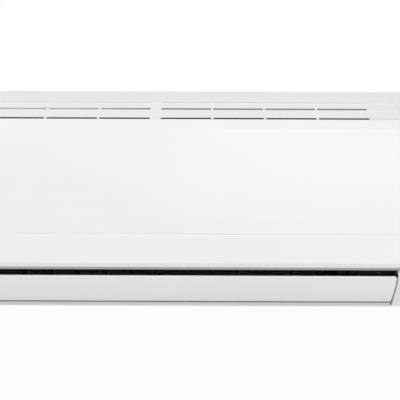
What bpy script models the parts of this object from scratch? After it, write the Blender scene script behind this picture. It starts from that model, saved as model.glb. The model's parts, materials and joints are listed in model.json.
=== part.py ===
"""Indoor unit of a wall-mounted split air conditioner.

Frame: +X to the viewer's right along the unit, -Y out into the room, +Z up. The origin lies on the
wall, on the middle of the wall plate's back face. Side outlines are written as (depth, height):
depth is the distance from the wall into the room, height is measured from the underside.
"""

import math

import bmesh
import bpy
from mathutils import Matrix, Vector
from mathutils.geometry import delaunay_2d_cdt

# Overall sizes
LENGTH = 0.790
HEIGHT = 0.285
FASCIA_DEPTH = 0.196
END_ROOM = 0.120
DUCT_HALF_LENGTH = LENGTH / 2 - END_ROOM
PLATE_CENTRE_HEIGHT = 0.150
WALL = 0.0025
GAP = 0.0003
BEYOND = 0.0200
CASING_BACK = 0.002

# Crown of the casing and its intake grille
CROWN_RADIUS = 0.200
FRAME_SETBACK = 0.0185
FRAME_DEPTH = FASCIA_DEPTH - FRAME_SETBACK
FRAME_LEDGE = 0.0045
RISER_DEPTH = FRAME_DEPTH - FRAME_LEDGE
SLAT_EDGE = 0.0025
SLAT_FRONT_DEPTH = RISER_DEPTH - SLAT_EDGE
CROWN_RUN = 0.074
CROWN_DEPTH = SLAT_FRONT_DEPTH - CROWN_RUN
ROW_PITCH = 0.0275
ROW_COUNT = 5
SLOT_WIDTH = 0.007
LOUVRE_STEP = 0.0010
GRILLE_END_MARGIN = 0.11335
CELLS_PER_SIDE = 4
THIN_RIB = 0.0033
THICK_RIB = 0.0147
GRILLE_HALF_LENGTH = LENGTH / 2 - GRILLE_END_MARGIN
SLOT_LENGTH = (GRILLE_HALF_LENGTH - THICK_RIB / 2 - (CELLS_PER_SIDE - 1) * THIN_RIB) / CELLS_PER_SIDE
CHEEK_LENGTH = 0.068
SHOULDER_X = LENGTH / 2 - CHEEK_LENGTH - 0.005

# Front frame behind the panel, with a window for each filter
FRAME_TOP_BELOW_CROWN = 0.029
WINDOW_INNER_X = 0.0135
WINDOW_END_MARGIN = 0.105
WINDOW_OUTER_X = LENGTH / 2 - WINDOW_END_MARGIN
WINDOW_FOOT = 0.126
WINDOW_HEAD_BELOW_CROWN = 0.035

# Lower fascia and the edge over the outlet
FASCIA_TOP = 0.1188
FASCIA_FOOT = 0.0787
CHAMFER = 0.0062
LIP_SETBACK = 0.013
LIP_DEPTH = FASCIA_DEPTH - LIP_SETBACK
LIP_FOOT = 0.0660
LIP_ROLL = 0.0015
CORNER = 0.0018
END_ROUNDING = 0.0035

# Outlet flap
FLAP_HALF_LENGTH = LENGTH / 2 - CHEEK_LENGTH
FLAP_FOOT = (0.1440, 0.0081)
FLAP_HEAD = (LIP_DEPTH - 0.0017, LIP_FOOT - 0.0104)
FLAP_THICKNESS = 0.0030
FLAP_BULGE = 0.0024
FLAP_FOOT_TAPER = 0.03
FLAP_REACH = 0.0185
FLAP_AXIS = (0.1458, 0.0230)
FLAP_END_GAP = 0.0010
FLAP_PIN_RADIUS = 0.0020
FLAP_END_PIN_RADIUS = 0.0026
FLAP_CORNERS = ((0.0, 0.05), (0.0010, 0.016), (0.0035, 0.0))
COUPLING_REACH = 0.0065
FLAP_LUG_RADIUS = 0.0040
FLAP_LUG_WIDTH = 0.0030
FLAP_MOTOR_LENGTH = 0.0180
FLAP_MOTOR_RADIUS = 0.0120
FLAP_MOTOR_OFFSET = 0.0080
BRACKET_INSET = 0.0145
BRACKET_X = DUCT_HALF_LENGTH - BRACKET_INSET
BRACKET_WIDTH = 0.027
BRACKET_SETBACK = (0.026, 0.006)
BRACKET_HEAD = 0.0040
CHEEK_WALL = 0.0025

# Front panel
PANEL_HEAD_DEPTH = FRAME_DEPTH + 0.004
PANEL_HEAD_BELOW_CROWN = 0.0144
PANEL_BEVEL = 0.0092
PANEL_BEVEL_DROP = 0.0017
PANEL_FACE_DEPTH = FASCIA_DEPTH - 0.0002
PANEL_FACE_LEAN = 0.0035
PANEL_BULGE = 0.0012
PANEL_THICKNESS = 0.0022
PANEL_FOOT_GAP = 0.0003
PANEL_FOOT_EDGE = 0.0004
PANEL_AXIS_DEPTH = PANEL_HEAD_DEPTH - 0.0005
PANEL_AXIS_BELOW_HEAD = 0.0076
PANEL_AXIS_BELOW_CROWN = PANEL_HEAD_BELOW_CROWN + PANEL_AXIS_BELOW_HEAD
PANEL_END_INSET = 0.0004
PANEL_LEDGE_DROP = 0.0125
PANEL_REAR_GAP = 0.0008
PANEL_ARM = 0.0025
HINGE_END_MARGIN = 0.045
HINGE_X = LENGTH / 2 - HINGE_END_MARGIN
HINGE_EAR = 0.0030
HINGE_EAR_RADIUS = 0.0032
HINGE_PIN_RADIUS = 0.0015

# Cross-flow fan
FAN_AXIS = (0.086, 0.106)
FAN_RADIUS = 0.044
FAN_END_GAP = 0.009
FAN_HALF_LENGTH = DUCT_HALF_LENGTH - FAN_END_GAP
FAN_BLADES = 24
FAN_SECTIONS = 4
FAN_DISC = 0.0014
FAN_BORE_RADIUS = 0.030
BLADE_INNER_RADIUS = 0.0345
BLADE_OUTER_RADIUS = 0.0434
BLADE_THICKNESS = 0.0012
BLADE_SWEEP = 0.26
STUB_RADIUS = 0.0030
STUB_LENGTH = 0.0200
HUB_RADIUS = 0.0090
HUB_LENGTH = 0.0050

# Rear chassis: scroll, duct floor, partitions
PARTITION = 0.0025
BACK_DEPTH = 0.0080
SCROLL_HEAD_GAP = 0.0060
SCROLL_FOOT_GAP = 0.0290
SCROLL_HEAD_ANGLE = 37.0
FOOT_LIP = (0.1410, 0.0055)
END_FLOOR_RISE = 0.0030
END_WALL_INSET = 0.0015
RIB_COUNT = 6
RIB = 0.0020
TROUGH_FLOOR = 0.140
END_WALL_SHOULDER = 0.1000
PARTITION_TOP = 0.0300
BOSS_LENGTH = 0.0050
END_FLOOR_SETBACK = 0.0160
RIB_SPREAD = 0.92
HOOK_SLOT_MARGIN = 0.0030
CRADLE_WIDTH = 0.0040

# Drain pan, whose underside is the ceiling of the duct
TONGUE = (0.1315, 0.0800)
CEILING_BACK = (0.1330, 0.0770)
CEILING_FRONT_DROP = 0.0013
PAN_FRONT_DEPTH = LIP_DEPTH - 0.003
PAN_WALL = 0.0030
PAN_FLOOR = 0.0835
PAN_DAM = 0.0075
FILTER_SILL = 0.1200
SPIGOT_RADIUS = 0.0045
SPIGOT_WALL = 0.0013
SPIGOT_LENGTH = 0.0200

# Coil: three finned slabs
COIL_THICKNESS = 0.0220
COIL_SETBACK = 0.0215
FRONT_SLAB_DEPTH = FRAME_DEPTH - COIL_SETBACK
FRONT_SLAB_FOOT = 0.0880
KNEE = 0.1680
RIDGE_BELOW_CROWN = 0.0350
UPPER_SLAB = ((FRONT_SLAB_DEPTH - 0.003, KNEE + 0.008), (FAN_AXIS[0] + 0.010, HEIGHT - RIDGE_BELOW_CROWN))
REAR_SLAB = ((0.0310, TROUGH_FLOOR + 0.018), (FAN_AXIS[0] - 0.008, HEIGHT - RIDGE_BELOW_CROWN - 0.014))
COIL_END_GAP = 0.0021
COIL_HALF_LENGTH = DUCT_HALF_LENGTH - COIL_END_GAP
FIN_GROOVES = 22
FIN_GROOVE_DEPTH = 0.0016
COIL_END_PLATE = 0.0015
TUBE_RADIUS = 0.0035
TUBE_PITCH = 0.0250
TUBE_ROW_SPACING = 0.0120
TUBE_STRAIGHT = 0.0030
CAP_SKIRT = 0.0120

# Pipes: radius, distance off the wall, height of the level run, and where that run ends
PIPES = {
    "gas_pipe": (0.00475, 0.0160, 0.0200, -0.0400),
    "liquid_pipe": (0.00318, 0.0290, 0.0360, 0.0200),
}
PIPE_RISER_X = DUCT_HALF_LENGTH + PARTITION + 0.0055
PIPE_BEND = 0.0060
NUT_LENGTH = 0.0180
NUT_WALL = 0.0035

# Filters
FILTER_PLANE_GAP = 0.0003
FILTER_THICKNESS = 0.0024
FILTER_ARC_RADIUS = 0.0500
FILTER_ARC_CENTRE_BELOW_CROWN = 0.0730
FILTER_BACK_DEPTH = 0.0700
FILTER_INNER_X = WINDOW_INNER_X - 0.0075
FILTER_OUTER_X = WINDOW_OUTER_X + 0.0045
FILTER_BAR = 0.0050
FILTER_COLUMNS = 3
FILTER_BARS = (0.0, 0.24, 0.45, 0.51, 0.57, 0.63, 0.82)
FILTER_FRONT = FRAME_DEPTH - WALL - FILTER_PLANE_GAP

# Upright vanes
VANES_PER_SIDE = 6
VANE_FIRST_X = 0.0370
VANE_LAST_GAP = 0.0480
VANE_PITCH = (DUCT_HALF_LENGTH - VANE_LAST_GAP - VANE_FIRST_X) / (VANES_PER_SIDE - 1)
VANE_SETBACK = 0.0340
VANE_THICKNESS = 0.0016
VANE_BACK = 0.0140
VANE_FRONT = 0.0160
VANE_HEIGHT_BACK = 0.0460
VANE_HEIGHT_FRONT = 0.0600
RAIL_WIDTH = 0.0120
RAIL_HEIGHT = 0.0040
PIVOT_RADIUS = 0.0018
LINK_OFFSET = 0.0110
LINK_LEVEL = 0.0300
LINK_WIDTH = 0.0080
LINK_THICKNESS = 0.0030
LINK_PIN = 0.0018
LINK_PIN_CORNER = 1.42
LINK_NOTCH = 0.0080
LINK_WINDOW_REACH = 0.0070
LINK_WINDOW_HALF = 0.0028
LINK_OVERHANG = 0.0060
RAIL_OVERHANG = 0.0100
VANE_CORNER = 0.0040

# Motor, bearing, control box
MOTOR_RADIUS = 0.042
MOTOR_GAP = 0.0110
MOTOR_LENGTH = 0.0540
MOTOR_X = (DUCT_HALF_LENGTH + MOTOR_GAP, DUCT_HALF_LENGTH + MOTOR_GAP + MOTOR_LENGTH)
MOTOR_FLANGE = 0.0030
MOTOR_SPLIT = 0.0037
MOTOR_BOSS_LENGTH = 0.0080
MOTOR_BOSS_RADIUS = 0.0120
SHAFT_RADIUS = 0.0040
BEARING_RADIUS = 0.0100
CONTROL_SIZE = (0.0860, 0.0340)
CONTROL_END_GAP = 0.0090
CONTROL_X = (LENGTH / 2 - CONTROL_END_GAP - CONTROL_SIZE[0], LENGTH / 2 - CONTROL_END_GAP)
CONTROL_FRONT_GAP = 0.0085
CONTROL_DEPTH = (FRAME_DEPTH - CONTROL_FRONT_GAP - CONTROL_SIZE[1], FRAME_DEPTH - CONTROL_FRONT_GAP)
CONTROL_HEIGHT = (LIP_FOOT + 0.018, HEIGHT - 0.039)
SHEET = 0.0012
BUTTON_X = LENGTH / 2 - 0.060
BUTTON_HEIGHT = 0.1500
BUTTON_RADIUS = 0.0030
BUTTON_COLLAR_BACK = 0.0018
BUTTON_PROUD = 0.0015

# Inside the control box; places are from the box's left edge and down from its top
BOARD = 0.0016
BOARD_RISE = 0.0060
TERMINAL_ROOM = 0.0450
BOARD_POST_MARGINS = (0.012, 0.014, 0.066, 0.011)
BOARD_POST_RADIUS = 0.0030
BOARD_PARTS = ((0.025, 0.076, 0.016), (0.052, 0.081, 0.012), (0.060, 0.041, 0.014))
TRANSFORMER_PLACE = (0.006, 0.052)
TRANSFORMER_SIZE = (0.026, 0.020, 0.030)
TERMINAL_DEPTH = 0.0200
TERMINAL_MARGIN = 0.0100
TERMINAL_COUNT = 4
TERMINAL_PITCH = 0.0155
DISPLAY_X = (LENGTH / 2 - 0.205, LENGTH / 2 - 0.125)
DISPLAY_HEIGHT = (FASCIA_FOOT + 0.0053, FASCIA_TOP - 0.0068)

# Wall plate
PLATE_END_MARGIN = 0.075
PLATE_LENGTH = LENGTH - 2 * PLATE_END_MARGIN
PLATE_HEIGHT = 0.190
PLATE_SHEET = 0.0015
HOOK_X = PLATE_LENGTH / 2 - 0.100
HOOK_WIDTH = 0.030
HOOK_HEIGHT = 0.236
PLATE_NOTCH = 0.060
PLATE_EAR_RISE = 0.030
PLATE_SCREW_X = (PLATE_LENGTH / 2 - 0.040, PLATE_LENGTH / 2 - 0.180)
PLATE_SCREW_RADIUS = 0.0030
PLATE_WINDOW_X = (0.155, 0.245)
PLATE_WINDOW_RISE = (-0.012, 0.038)


# Corner numbers of a box's six sides, for corners listed round one end and then the other
BOX_SIDES = ((0, 1, 2, 3), (7, 6, 5, 4), (0, 4, 5, 1), (1, 5, 6, 2), (2, 6, 7, 3), (3, 7, 4, 0))


def at(x, depth, height):
    """Point of the model from its place along the unit, off the wall and above the underside."""
    return Vector((x, -depth, height - PLATE_CENTRE_HEIGHT))


# Mesh tools


def solid(name, points, faces):
    """Object made of the given points and faces, with every face turned outwards."""
    mesh = bpy.data.meshes.new(name)
    mesh.from_pydata([tuple(point) for point in points], [], faces)
    shape = bmesh.new()
    shape.from_mesh(mesh)
    bmesh.ops.recalc_face_normals(shape, faces=shape.faces)
    shape.to_mesh(mesh)
    shape.free()
    piece = bpy.data.objects.new(name, mesh)
    bpy.context.scene.collection.objects.link(piece)
    return piece


def loft(name, loops):
    """Solid through equal loops of points, closed by a face at each end."""
    count = len(loops[0])
    points = [point for loop in loops for point in loop]
    faces = [list(range(count)), list(range(len(points) - count, len(points)))]
    for start in range(0, len(points) - count, count):
        for step in range(count):
            after = (step + 1) % count
            faces.append([start + step, start + after, start + after + count, start + step + count])
    return solid(name, points, faces)


def prism(name, outline, x_from, x_to):
    """Side outline of (depth, height) points drawn out along the unit."""
    return loft(name, [[at(x, *point) for point in outline] for x in (x_from, x_to)])


def block(name, x_span, depth_span, height_span):
    """Rectangular solid between the given limits."""
    (front, back), (low, high) = depth_span, height_span
    return prism(name, [(front, low), (back, low), (back, high), (front, high)], *x_span)


def circle(centre, radius, sides, turn=0.0):
    """Points of a regular polygon in a plane, first point at the given angle."""
    angles = [turn + 2 * math.pi * step / sides for step in range(sides)]
    return [(centre[0] + radius * math.cos(a), centre[1] + radius * math.sin(a)) for a in angles]


def disc(name, x_span, centre, radius, sides=16):
    """Round bar that lies along the unit."""
    return prism(name, circle(centre, radius, sides), *x_span)


def encloses(loop, point):
    """Whether a closed loop goes round the point."""
    inside = False
    for (ax, ay), (bx, by) in zip(loop, loop[1:] + loop[:1]):
        if (ay > point[1]) != (by > point[1]) and point[0] < ax + (bx - ax) * (point[1] - ay) / (by - ay):
            inside = not inside
    return inside


def fill_loops(loops):
    """Triangles between an outline and its holes, as indices into all their points in order."""
    flat = [Vector(point) for loop in loops for point in loop]
    edges, start = [], 0
    for loop in loops:
        edges += [(start + step, start + (step + 1) % len(loop)) for step in range(len(loop))]
        start += len(loop)
    triangles_inside = 1
    result = delaunay_2d_cdt(flat, edges, [], triangles_inside, 1e-8)
    faces = []
    for face in result[2]:
        corners = [result[3][index][0] for index in face]
        middle = sum((flat[index] for index in corners), Vector((0, 0))) / 3
        if encloses(loops[0], middle) and not any(encloses(hole, middle) for hole in loops[1:]):
            faces.append(corners)
    return faces


def perforated(name, outline, holes, place, near, far):
    """Flat plate with holes: place(u, v, w) gives a point, and w runs from near to far."""
    loops = [outline, *holes]
    flat = [point for loop in loops for point in loop]
    fill = fill_loops(loops)
    count = len(flat)
    points = [place(u, v, w) for w in (near, far) for u, v in flat]
    faces = [list(corner) for corner in fill]
    faces += [[index + count for index in reversed(corner)] for corner in fill]
    start = 0
    for loop in loops:
        for step in range(len(loop)):
            a, b = start + step, start + (step + 1) % len(loop)
            faces.append([a, b, b + count, a + count])
        start += len(loop)
    return solid(name, points, faces)


def side_plate(name, outline, holes, x_from, x_to):
    """Perforated plate that stands across the unit."""
    return perforated(name, outline, holes, lambda u, v, w: at(w, u, v), x_from, x_to)


def tube(name, path, radius, sides=8):
    """Round bar swept along a list of points, with closed ends."""
    path = [Vector(point) for point in path]
    side = None
    loops = []
    for index, point in enumerate(path):
        before = path[max(index - 1, 0)]
        after = path[min(index + 1, len(path) - 1)]
        along = (after - before).normalized()
        if side is None:
            side = along.orthogonal().normalized()
        side = (side - along * side.dot(along)).normalized()
        up = along.cross(side)
        angles = [2 * math.pi * step / sides for step in range(sides)]
        loops.append([point + radius * (side * math.cos(a) + up * math.sin(a)) for a in angles])
    return loft(name, loops)


def disc_forward(name, place, depth_span, radius, sides=8):
    """Round bar that points out of the wall, at a place given as (x, height)."""
    x, height = place
    return tube(name, [at(x, depth, height) for depth in depth_span], radius, sides)


def bend(points, radius, steps=4):
    """Path through the points with each inner corner rounded to the given radius."""
    points = [Vector(point) for point in points]
    path = [points[0]]
    for before, corner, after in zip(points, points[1:], points[2:]):
        into = (before - corner).normalized()
        out = (after - corner).normalized()
        half = into.angle(out) / 2
        centre = corner + (into + out).normalized() * radius / math.sin(half)
        start = corner + into * radius / math.tan(half)
        end = corner + out * radius / math.tan(half)
        for step in range(steps + 1):
            ray = (start - centre).normalized().slerp((end - centre).normalized(), step / steps)
            path.append(centre + ray * radius)
    return path + [points[-1]]


def lattice(name, us, vs, is_solid, place, near, far):
    """Slab over a grid of cells, open where is_solid(column, row) is false."""
    columns, rows = len(us), len(vs)

    def index(i, j, layer):
        return (layer * rows + j) * columns + i

    points = [place(u, v, w) for w in (near, far) for v in vs for u in us]
    faces = []

    def filled(i, j):
        return 0 <= i < columns - 1 and 0 <= j < rows - 1 and is_solid(i, j)

    for j in range(rows - 1):
        for i in range(columns - 1):
            if not filled(i, j):
                continue
            corners = [(i, j), (i + 1, j), (i + 1, j + 1), (i, j + 1)]
            for layer in (0, 1):
                faces.append([index(*corner, layer) for corner in corners])
            beside = [(i, j - 1), (i + 1, j), (i, j + 1), (i - 1, j)]
            for side, (a, b) in zip(beside, zip(corners, corners[1:] + corners[:1])):
                if not filled(*side):
                    faces.append([index(*a, 0), index(*b, 0), index(*b, 1), index(*a, 1)])
    return solid(name, points, faces)


def inset(outline, distance):
    """Closed outline moved inwards by a distance, corner by corner."""
    area = sum(a[0] * b[1] - b[0] * a[1] for a, b in zip(outline, outline[1:] + outline[:1]))
    turn = 1 if area > 0 else -1
    moved = []
    for index, point in enumerate(outline):
        here = Vector(point)
        into = (here - Vector(outline[index - 1])).normalized()
        out = (Vector(outline[(index + 1) % len(outline)]) - here).normalized()
        normal = Vector((-into.y - out.y, into.x + out.x)).normalized() * turn
        share = max(0.3, abs(normal.dot(Vector((-into.y, into.x)))))
        moved.append(tuple(here + normal * distance / share))
    return moved


def ribbon(path, thickness):
    """Outline of a strip of even thickness on the left of an open path."""
    far = []
    for index, point in enumerate(path):
        here = Vector(point)
        into = here - Vector(path[index - 1]) if index else Vector(path[1]) - here
        out = Vector(path[index + 1]) - here if index + 1 < len(path) else into
        into, out = into.normalized(), out.normalized()
        normal = Vector((-into.y - out.y, into.x + out.x)).normalized()
        share = max(0.3, normal.dot(Vector((-into.y, into.x))))
        far.append(tuple(here + normal * thickness / share))
    return list(path) + far[::-1]


def helper(piece):
    """Marks a cutter or a blank that only shapes another piece."""
    piece.hide_render = True
    piece.display_type = "WIRE"


def boolean(piece, operation, others):
    """Adds one Boolean for each of the others and marks them as helpers."""
    for other in others:
        modifier = piece.modifiers.new(other.name, "BOOLEAN")
        modifier.operation = operation
        modifier.object = other
        helper(other)
    return piece


def carve(piece, *cutters):
    """Cuts the cutters out of the piece."""
    return boolean(piece, "DIFFERENCE", cutters)


def fuse(piece, *others):
    """Joins the others to the piece."""
    return boolean(piece, "UNION", others)


# Finishes and bodies

FINISHES = {
    "white_plastic": ((0.86, 0.87, 0.87, 1), 0.38, 0.0),
    "grey_plastic": ((0.30, 0.31, 0.32, 1), 0.50, 0.0),
    "black_plastic": ((0.03, 0.03, 0.03, 1), 0.50, 0.0),
    "zinc_steel": ((0.60, 0.61, 0.60, 1), 0.35, 1.0),
    "aluminium": ((0.75, 0.76, 0.77, 1), 0.40, 1.0),
    "copper": ((0.72, 0.38, 0.24, 1), 0.30, 1.0),
    "brass": ((0.70, 0.56, 0.28, 1), 0.30, 1.0),
    "board_green": ((0.05, 0.20, 0.10, 1), 0.45, 0.0),
    "rubber": ((0.04, 0.04, 0.04, 1), 0.80, 0.0),
    "filter_blue": ((0.55, 0.60, 0.64, 1), 0.60, 0.0),
}


def finish(piece, look):
    """Gives the piece its own material and smooth round faces."""
    colour, roughness, metallic = FINISHES[look]
    material = bpy.data.materials.new(f"{piece.name}_{look}")
    material.use_nodes = True
    shader = material.node_tree.nodes["Principled BSDF"]
    shader.inputs["Base Color"].default_value = colour
    shader.inputs["Roughness"].default_value = roughness
    shader.inputs["Metallic"].default_value = metallic
    material.diffuse_color = colour
    piece.data.materials.clear()
    piece.data.materials.append(material)
    piece.data.shade_smooth()
    piece.data.set_sharp_from_angle(angle=math.radians(35))
    return piece


def axle(name, place):
    """Empty that carries a moving body, on its joint's axis."""
    empty = bpy.data.objects.new(name, None)
    empty.location = place
    empty.empty_display_size = 0.02
    bpy.context.scene.collection.objects.link(empty)
    return empty


def hang(piece, carrier):
    """Parents the piece to a body's empty and moves its origin onto the empty."""
    piece.data.transform(Matrix.Translation(-carrier.location))
    piece.parent = carrier
    return piece


# Casing


def crown(depth):
    """Height of the casing's top skin at a depth."""
    run = max(0.0, depth - CROWN_DEPTH)
    return HEIGHT - CROWN_RADIUS + math.sqrt(CROWN_RADIUS**2 - run**2)


def slat_fronts():
    """Depth of each slat's front edge, from the front row to the back row."""
    return [SLAT_FRONT_DEPTH - ROW_PITCH * row for row in range(ROW_COUNT)]


def crown_outline(step):
    """Top skin from the wall to the riser; each slat rises by the step towards its rear edge."""
    line = [(CASING_BACK, HEIGHT), (slat_fronts()[-1] - ROW_PITCH, HEIGHT)]
    for front in reversed(slat_fronts()):
        line.append((front, crown(front)))
        if front != SLAT_FRONT_DEPTH:
            rear = front + SLOT_WIDTH
            line.append((rear, crown(rear) + step))
    line.append((RISER_DEPTH, crown(RISER_DEPTH)))
    return line


def frame_top():
    """Height of the front frame's top edge."""
    return HEIGHT - FRAME_TOP_BELOW_CROWN


def fascia_outline():
    """Front of the casing, from the riser down to the edge over the outlet."""
    step = FRAME_DEPTH - RISER_DEPTH
    return [
        (RISER_DEPTH, frame_top() + step / 2),
        (FRAME_DEPTH, frame_top()),
        (FRAME_DEPTH, FASCIA_TOP),
        (FASCIA_DEPTH - CORNER, FASCIA_TOP),
        (FASCIA_DEPTH - CORNER * 0.3, FASCIA_TOP - CORNER * 0.3),
        (FASCIA_DEPTH, FASCIA_TOP - CORNER),
        (FASCIA_DEPTH - 0.0005, FASCIA_FOOT),
        (FASCIA_DEPTH - CHAMFER, FASCIA_FOOT - CHAMFER),
        (LIP_DEPTH + LIP_ROLL, FASCIA_FOOT - CHAMFER - LIP_ROLL),
        (LIP_DEPTH, LIP_FOOT),
    ]


def casing_outline(step=0.0):
    """Whole side outline of the casing, closed along the flap's line and the underside."""
    return [
        *crown_outline(step),
        *fascia_outline(),
        (FLAP_HEAD[0] + 0.0012, FLAP_HEAD[1] + 0.001),
        (FLAP_FOOT[0], FLAP_FOOT[1] - 0.0015),
        (FOOT_LIP[0] - 0.002, 0.0),
        (CASING_BACK, 0.0),
    ]


def grille_cells():
    """Left and right limits of each slot along the unit."""
    cells = []
    for cell in range(CELLS_PER_SIDE):
        start = THICK_RIB / 2 + cell * (SLOT_LENGTH + THIN_RIB)
        cells.append((start, start + SLOT_LENGTH))
        cells.append((-start - SLOT_LENGTH, -start))
    return sorted(cells)


def slot_cutters():
    """One cutter for each row of the grille, holding a bar for each cell."""
    cutters = []
    for row, front in enumerate(slat_fronts()):
        rear = RISER_DEPTH + GAP if row == 0 else front + SLOT_WIDTH
        low = frame_top() + 0.004 if row == 0 else crown(rear) - 2 * WALL
        high = crown(front) + 2 * WALL
        points, faces = [], []
        for left, right in grille_cells():
            start = len(points)
            corners = [(front, low), (rear, low), (rear, high), (front, high)]
            points += [at(x, *corner) for x in (left, right) for corner in corners]
            faces += [[start + k for k in side] for side in BOX_SIDES]
        cutters.append(solid(f"slot_row_{row + 1}", points, faces))
    return cutters


def panel_axis():
    """Depth and height of the front panel's hinge axis."""
    return PANEL_AXIS_DEPTH, HEIGHT - PANEL_AXIS_BELOW_CROWN


def hinge_ear(name, side):
    """Ear of the casing with the hole that a panel pin turns in."""
    axis = panel_axis()
    root = FRAME_DEPTH - WALL / 2
    arc = circle(axis, HINGE_EAR_RADIUS, 12, turn=math.radians(-60))[:8]
    outline = [
        (root, axis[1] - 0.0120),
        (root + 0.0040, axis[1] - 0.0110),
        *arc[:7],
        (root, axis[1] - 0.0055),
    ]
    hole = circle(axis, HINGE_PIN_RADIUS + GAP, 10)
    start = side * (HINGE_X - HINGE_EAR / 2)
    return side_plate(name, outline, [hole], start, start + side * HINGE_EAR)


def cheek_wall(name, side):
    """Wall between the outlet and the hollow cheek, with the flap's bearing hole."""
    low = (FOOT_LIP[0] - 0.012, WALL / 2)
    outline = [
        low,
        (FOOT_LIP[0] - 0.003, WALL / 2),
        (FLAP_FOOT[0] - 0.001, FLAP_FOOT[1]),
        (FLAP_HEAD[0] - 0.0005, FLAP_HEAD[1] + 0.001),
        (LIP_DEPTH - WALL / 2, LIP_FOOT),
        (LIP_DEPTH - WALL / 2, LIP_FOOT + 0.004),
        (low[0], LIP_FOOT + 0.004),
    ]
    hole = circle(FLAP_AXIS, FLAP_END_PIN_RADIUS + 2 * GAP, 12)
    start = side * (FLAP_HALF_LENGTH + FLAP_END_GAP)
    return side_plate(name, outline, [hole], start, start + side * CHEEK_WALL)


def build_front_casing():
    """Front casing: one thin moulding with grille, frame windows, fascia and cheeks."""
    half = LENGTH / 2
    plain = casing_outline()
    louvred = casing_outline(LOUVRE_STEP)
    stations = [
        (-half, inset(plain, END_ROUNDING)),
        (-half + END_ROUNDING * 0.3, inset(plain, END_ROUNDING * 0.35)),
        (-half + END_ROUNDING, plain),
        (-SHOULDER_X - 0.001, plain),
        (-SHOULDER_X, louvred),
    ]
    stations += [(-x, outline) for x, outline in reversed(stations)]
    casing = loft("front_casing", [[at(x, *p) for p in outline] for x, outline in stations])
    hollow_outline = inset(plain, WALL)
    for end in (0, -1):
        hollow_outline[end] = (-BEYOND, hollow_outline[end][1])
    hollow = prism("casing_hollow", hollow_outline, -half + WALL, half - WALL)
    mouth_half = FLAP_HALF_LENGTH + FLAP_END_GAP
    mouth = block("casing_mouth", (-mouth_half, mouth_half), (-BEYOND, FASCIA_DEPTH), (-BEYOND, LIP_FOOT))
    carve(casing, hollow, mouth, *slot_cutters())
    head = HEIGHT - WINDOW_HEAD_BELOW_CROWN
    for side in (-1, 1):
        span = (side * WINDOW_INNER_X, side * WINDOW_OUTER_X)
        through = (FRAME_DEPTH - 2 * WALL, FRAME_DEPTH + WALL)
        window = block(f"window_{side}", span, through, (WINDOW_FOOT, head))
        carve(casing, window)
        fuse(casing, cheek_wall(f"cheek_wall_{side}", side), hinge_ear(f"hinge_ear_{side}", side))
    through = (FRAME_DEPTH + WALL, FRAME_DEPTH - 2 * WALL)
    carve(casing, disc_forward("button_hole", (BUTTON_X, BUTTON_HEIGHT), through, BUTTON_RADIUS + GAP, 12))
    return finish(casing, "white_plastic")


# Front panel


def panel_face(share):
    """Point of the panel's outer face, from its top bevel (0) to its foot (1)."""
    top = HEIGHT - PANEL_HEAD_BELOW_CROWN - PANEL_BEVEL - PANEL_BEVEL_DROP
    foot = FASCIA_TOP + PANEL_FOOT_GAP
    depth = PANEL_FACE_DEPTH - PANEL_FACE_LEAN * (1 - share) ** 2
    bulge = PANEL_BULGE * 4 * share * (1 - share)
    return depth + bulge, top + (foot - top) * share


def panel_outline(skin=0.0):
    """Side outline of the panel's outer surface, closed behind, thinned by a skin."""
    head = HEIGHT - PANEL_HEAD_BELOW_CROWN
    foot = FASCIA_TOP + PANEL_FOOT_GAP
    face = [panel_face(step / 6) for step in range(7)]
    rear = FRAME_DEPTH + PANEL_REAR_GAP
    outline = [
        (PANEL_HEAD_DEPTH, head),
        (PANEL_HEAD_DEPTH + PANEL_BEVEL, head - PANEL_BEVEL),
        *face[:-1],
        (face[-1][0], foot + PANEL_FOOT_EDGE),
        (face[-1][0] - PANEL_FOOT_EDGE, foot),
        (rear, foot),
        (rear, head - PANEL_LEDGE_DROP),
        (PANEL_HEAD_DEPTH - 0.0015, head - 0.0016),
    ]
    if not skin:
        return outline
    inner = inset(outline, skin)
    inner[-3] = (rear - 0.01, inner[-3][1])
    inner[-2] = (rear - 0.01, head - PANEL_LEDGE_DROP)
    inner[-1] = (PANEL_HEAD_DEPTH - 0.004, head - 0.0025 - 0.0032)
    return inner


def panel_arm(name, side):
    """Arm inside the panel with the pin that turns in the casing's ear."""
    axis = panel_axis()
    arc = circle(axis, HINGE_EAR_RADIUS, 12, turn=math.radians(60))[:7]
    outline = [*arc, (axis[0] + 0.008, axis[1] - 0.010), (axis[0] + 0.0105, axis[1] - 0.004)]
    inner = side * (HINGE_X - HINGE_EAR / 2 - GAP)
    arm = side_plate(name, outline, [], inner, inner - side * PANEL_ARM)
    span = (inner - side * 0.001, inner + side * (HINGE_EAR + 0.001))
    pin = disc(f"{name}_pin", span, axis, HINGE_PIN_RADIUS, 10)
    return arm, pin


def build_front_panel(carrier):
    """Front panel: a shallow moulded tray that lifts about its top edge."""
    half = LENGTH / 2 - PANEL_END_INSET
    outline = panel_outline()
    stations = [
        (-half, inset(outline, 0.0012)),
        (-half + 0.0004, inset(outline, 0.0004)),
        (-half + 0.0012, outline),
    ]
    stations += [(-x, line) for x, line in reversed(stations)]
    panel = loft("front_panel", [[at(x, *p) for p in line] for x, line in stations])
    hollow = prism("panel_hollow", panel_outline(PANEL_THICKNESS), -half + 0.003, half - 0.003)
    carve(panel, hollow)
    for side in (-1, 1):
        fuse(panel, *panel_arm(f"panel_arm_{side}", side))
    finish(panel, "white_plastic")
    return hang(panel, carrier)


# Rear chassis


def polar(radius, degrees):
    """Point around the fan: 0 degrees points at the wall, 90 degrees up."""
    angle = math.radians(degrees)
    return FAN_AXIS[0] - radius * math.cos(angle), FAN_AXIS[1] + radius * math.sin(angle)


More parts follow.
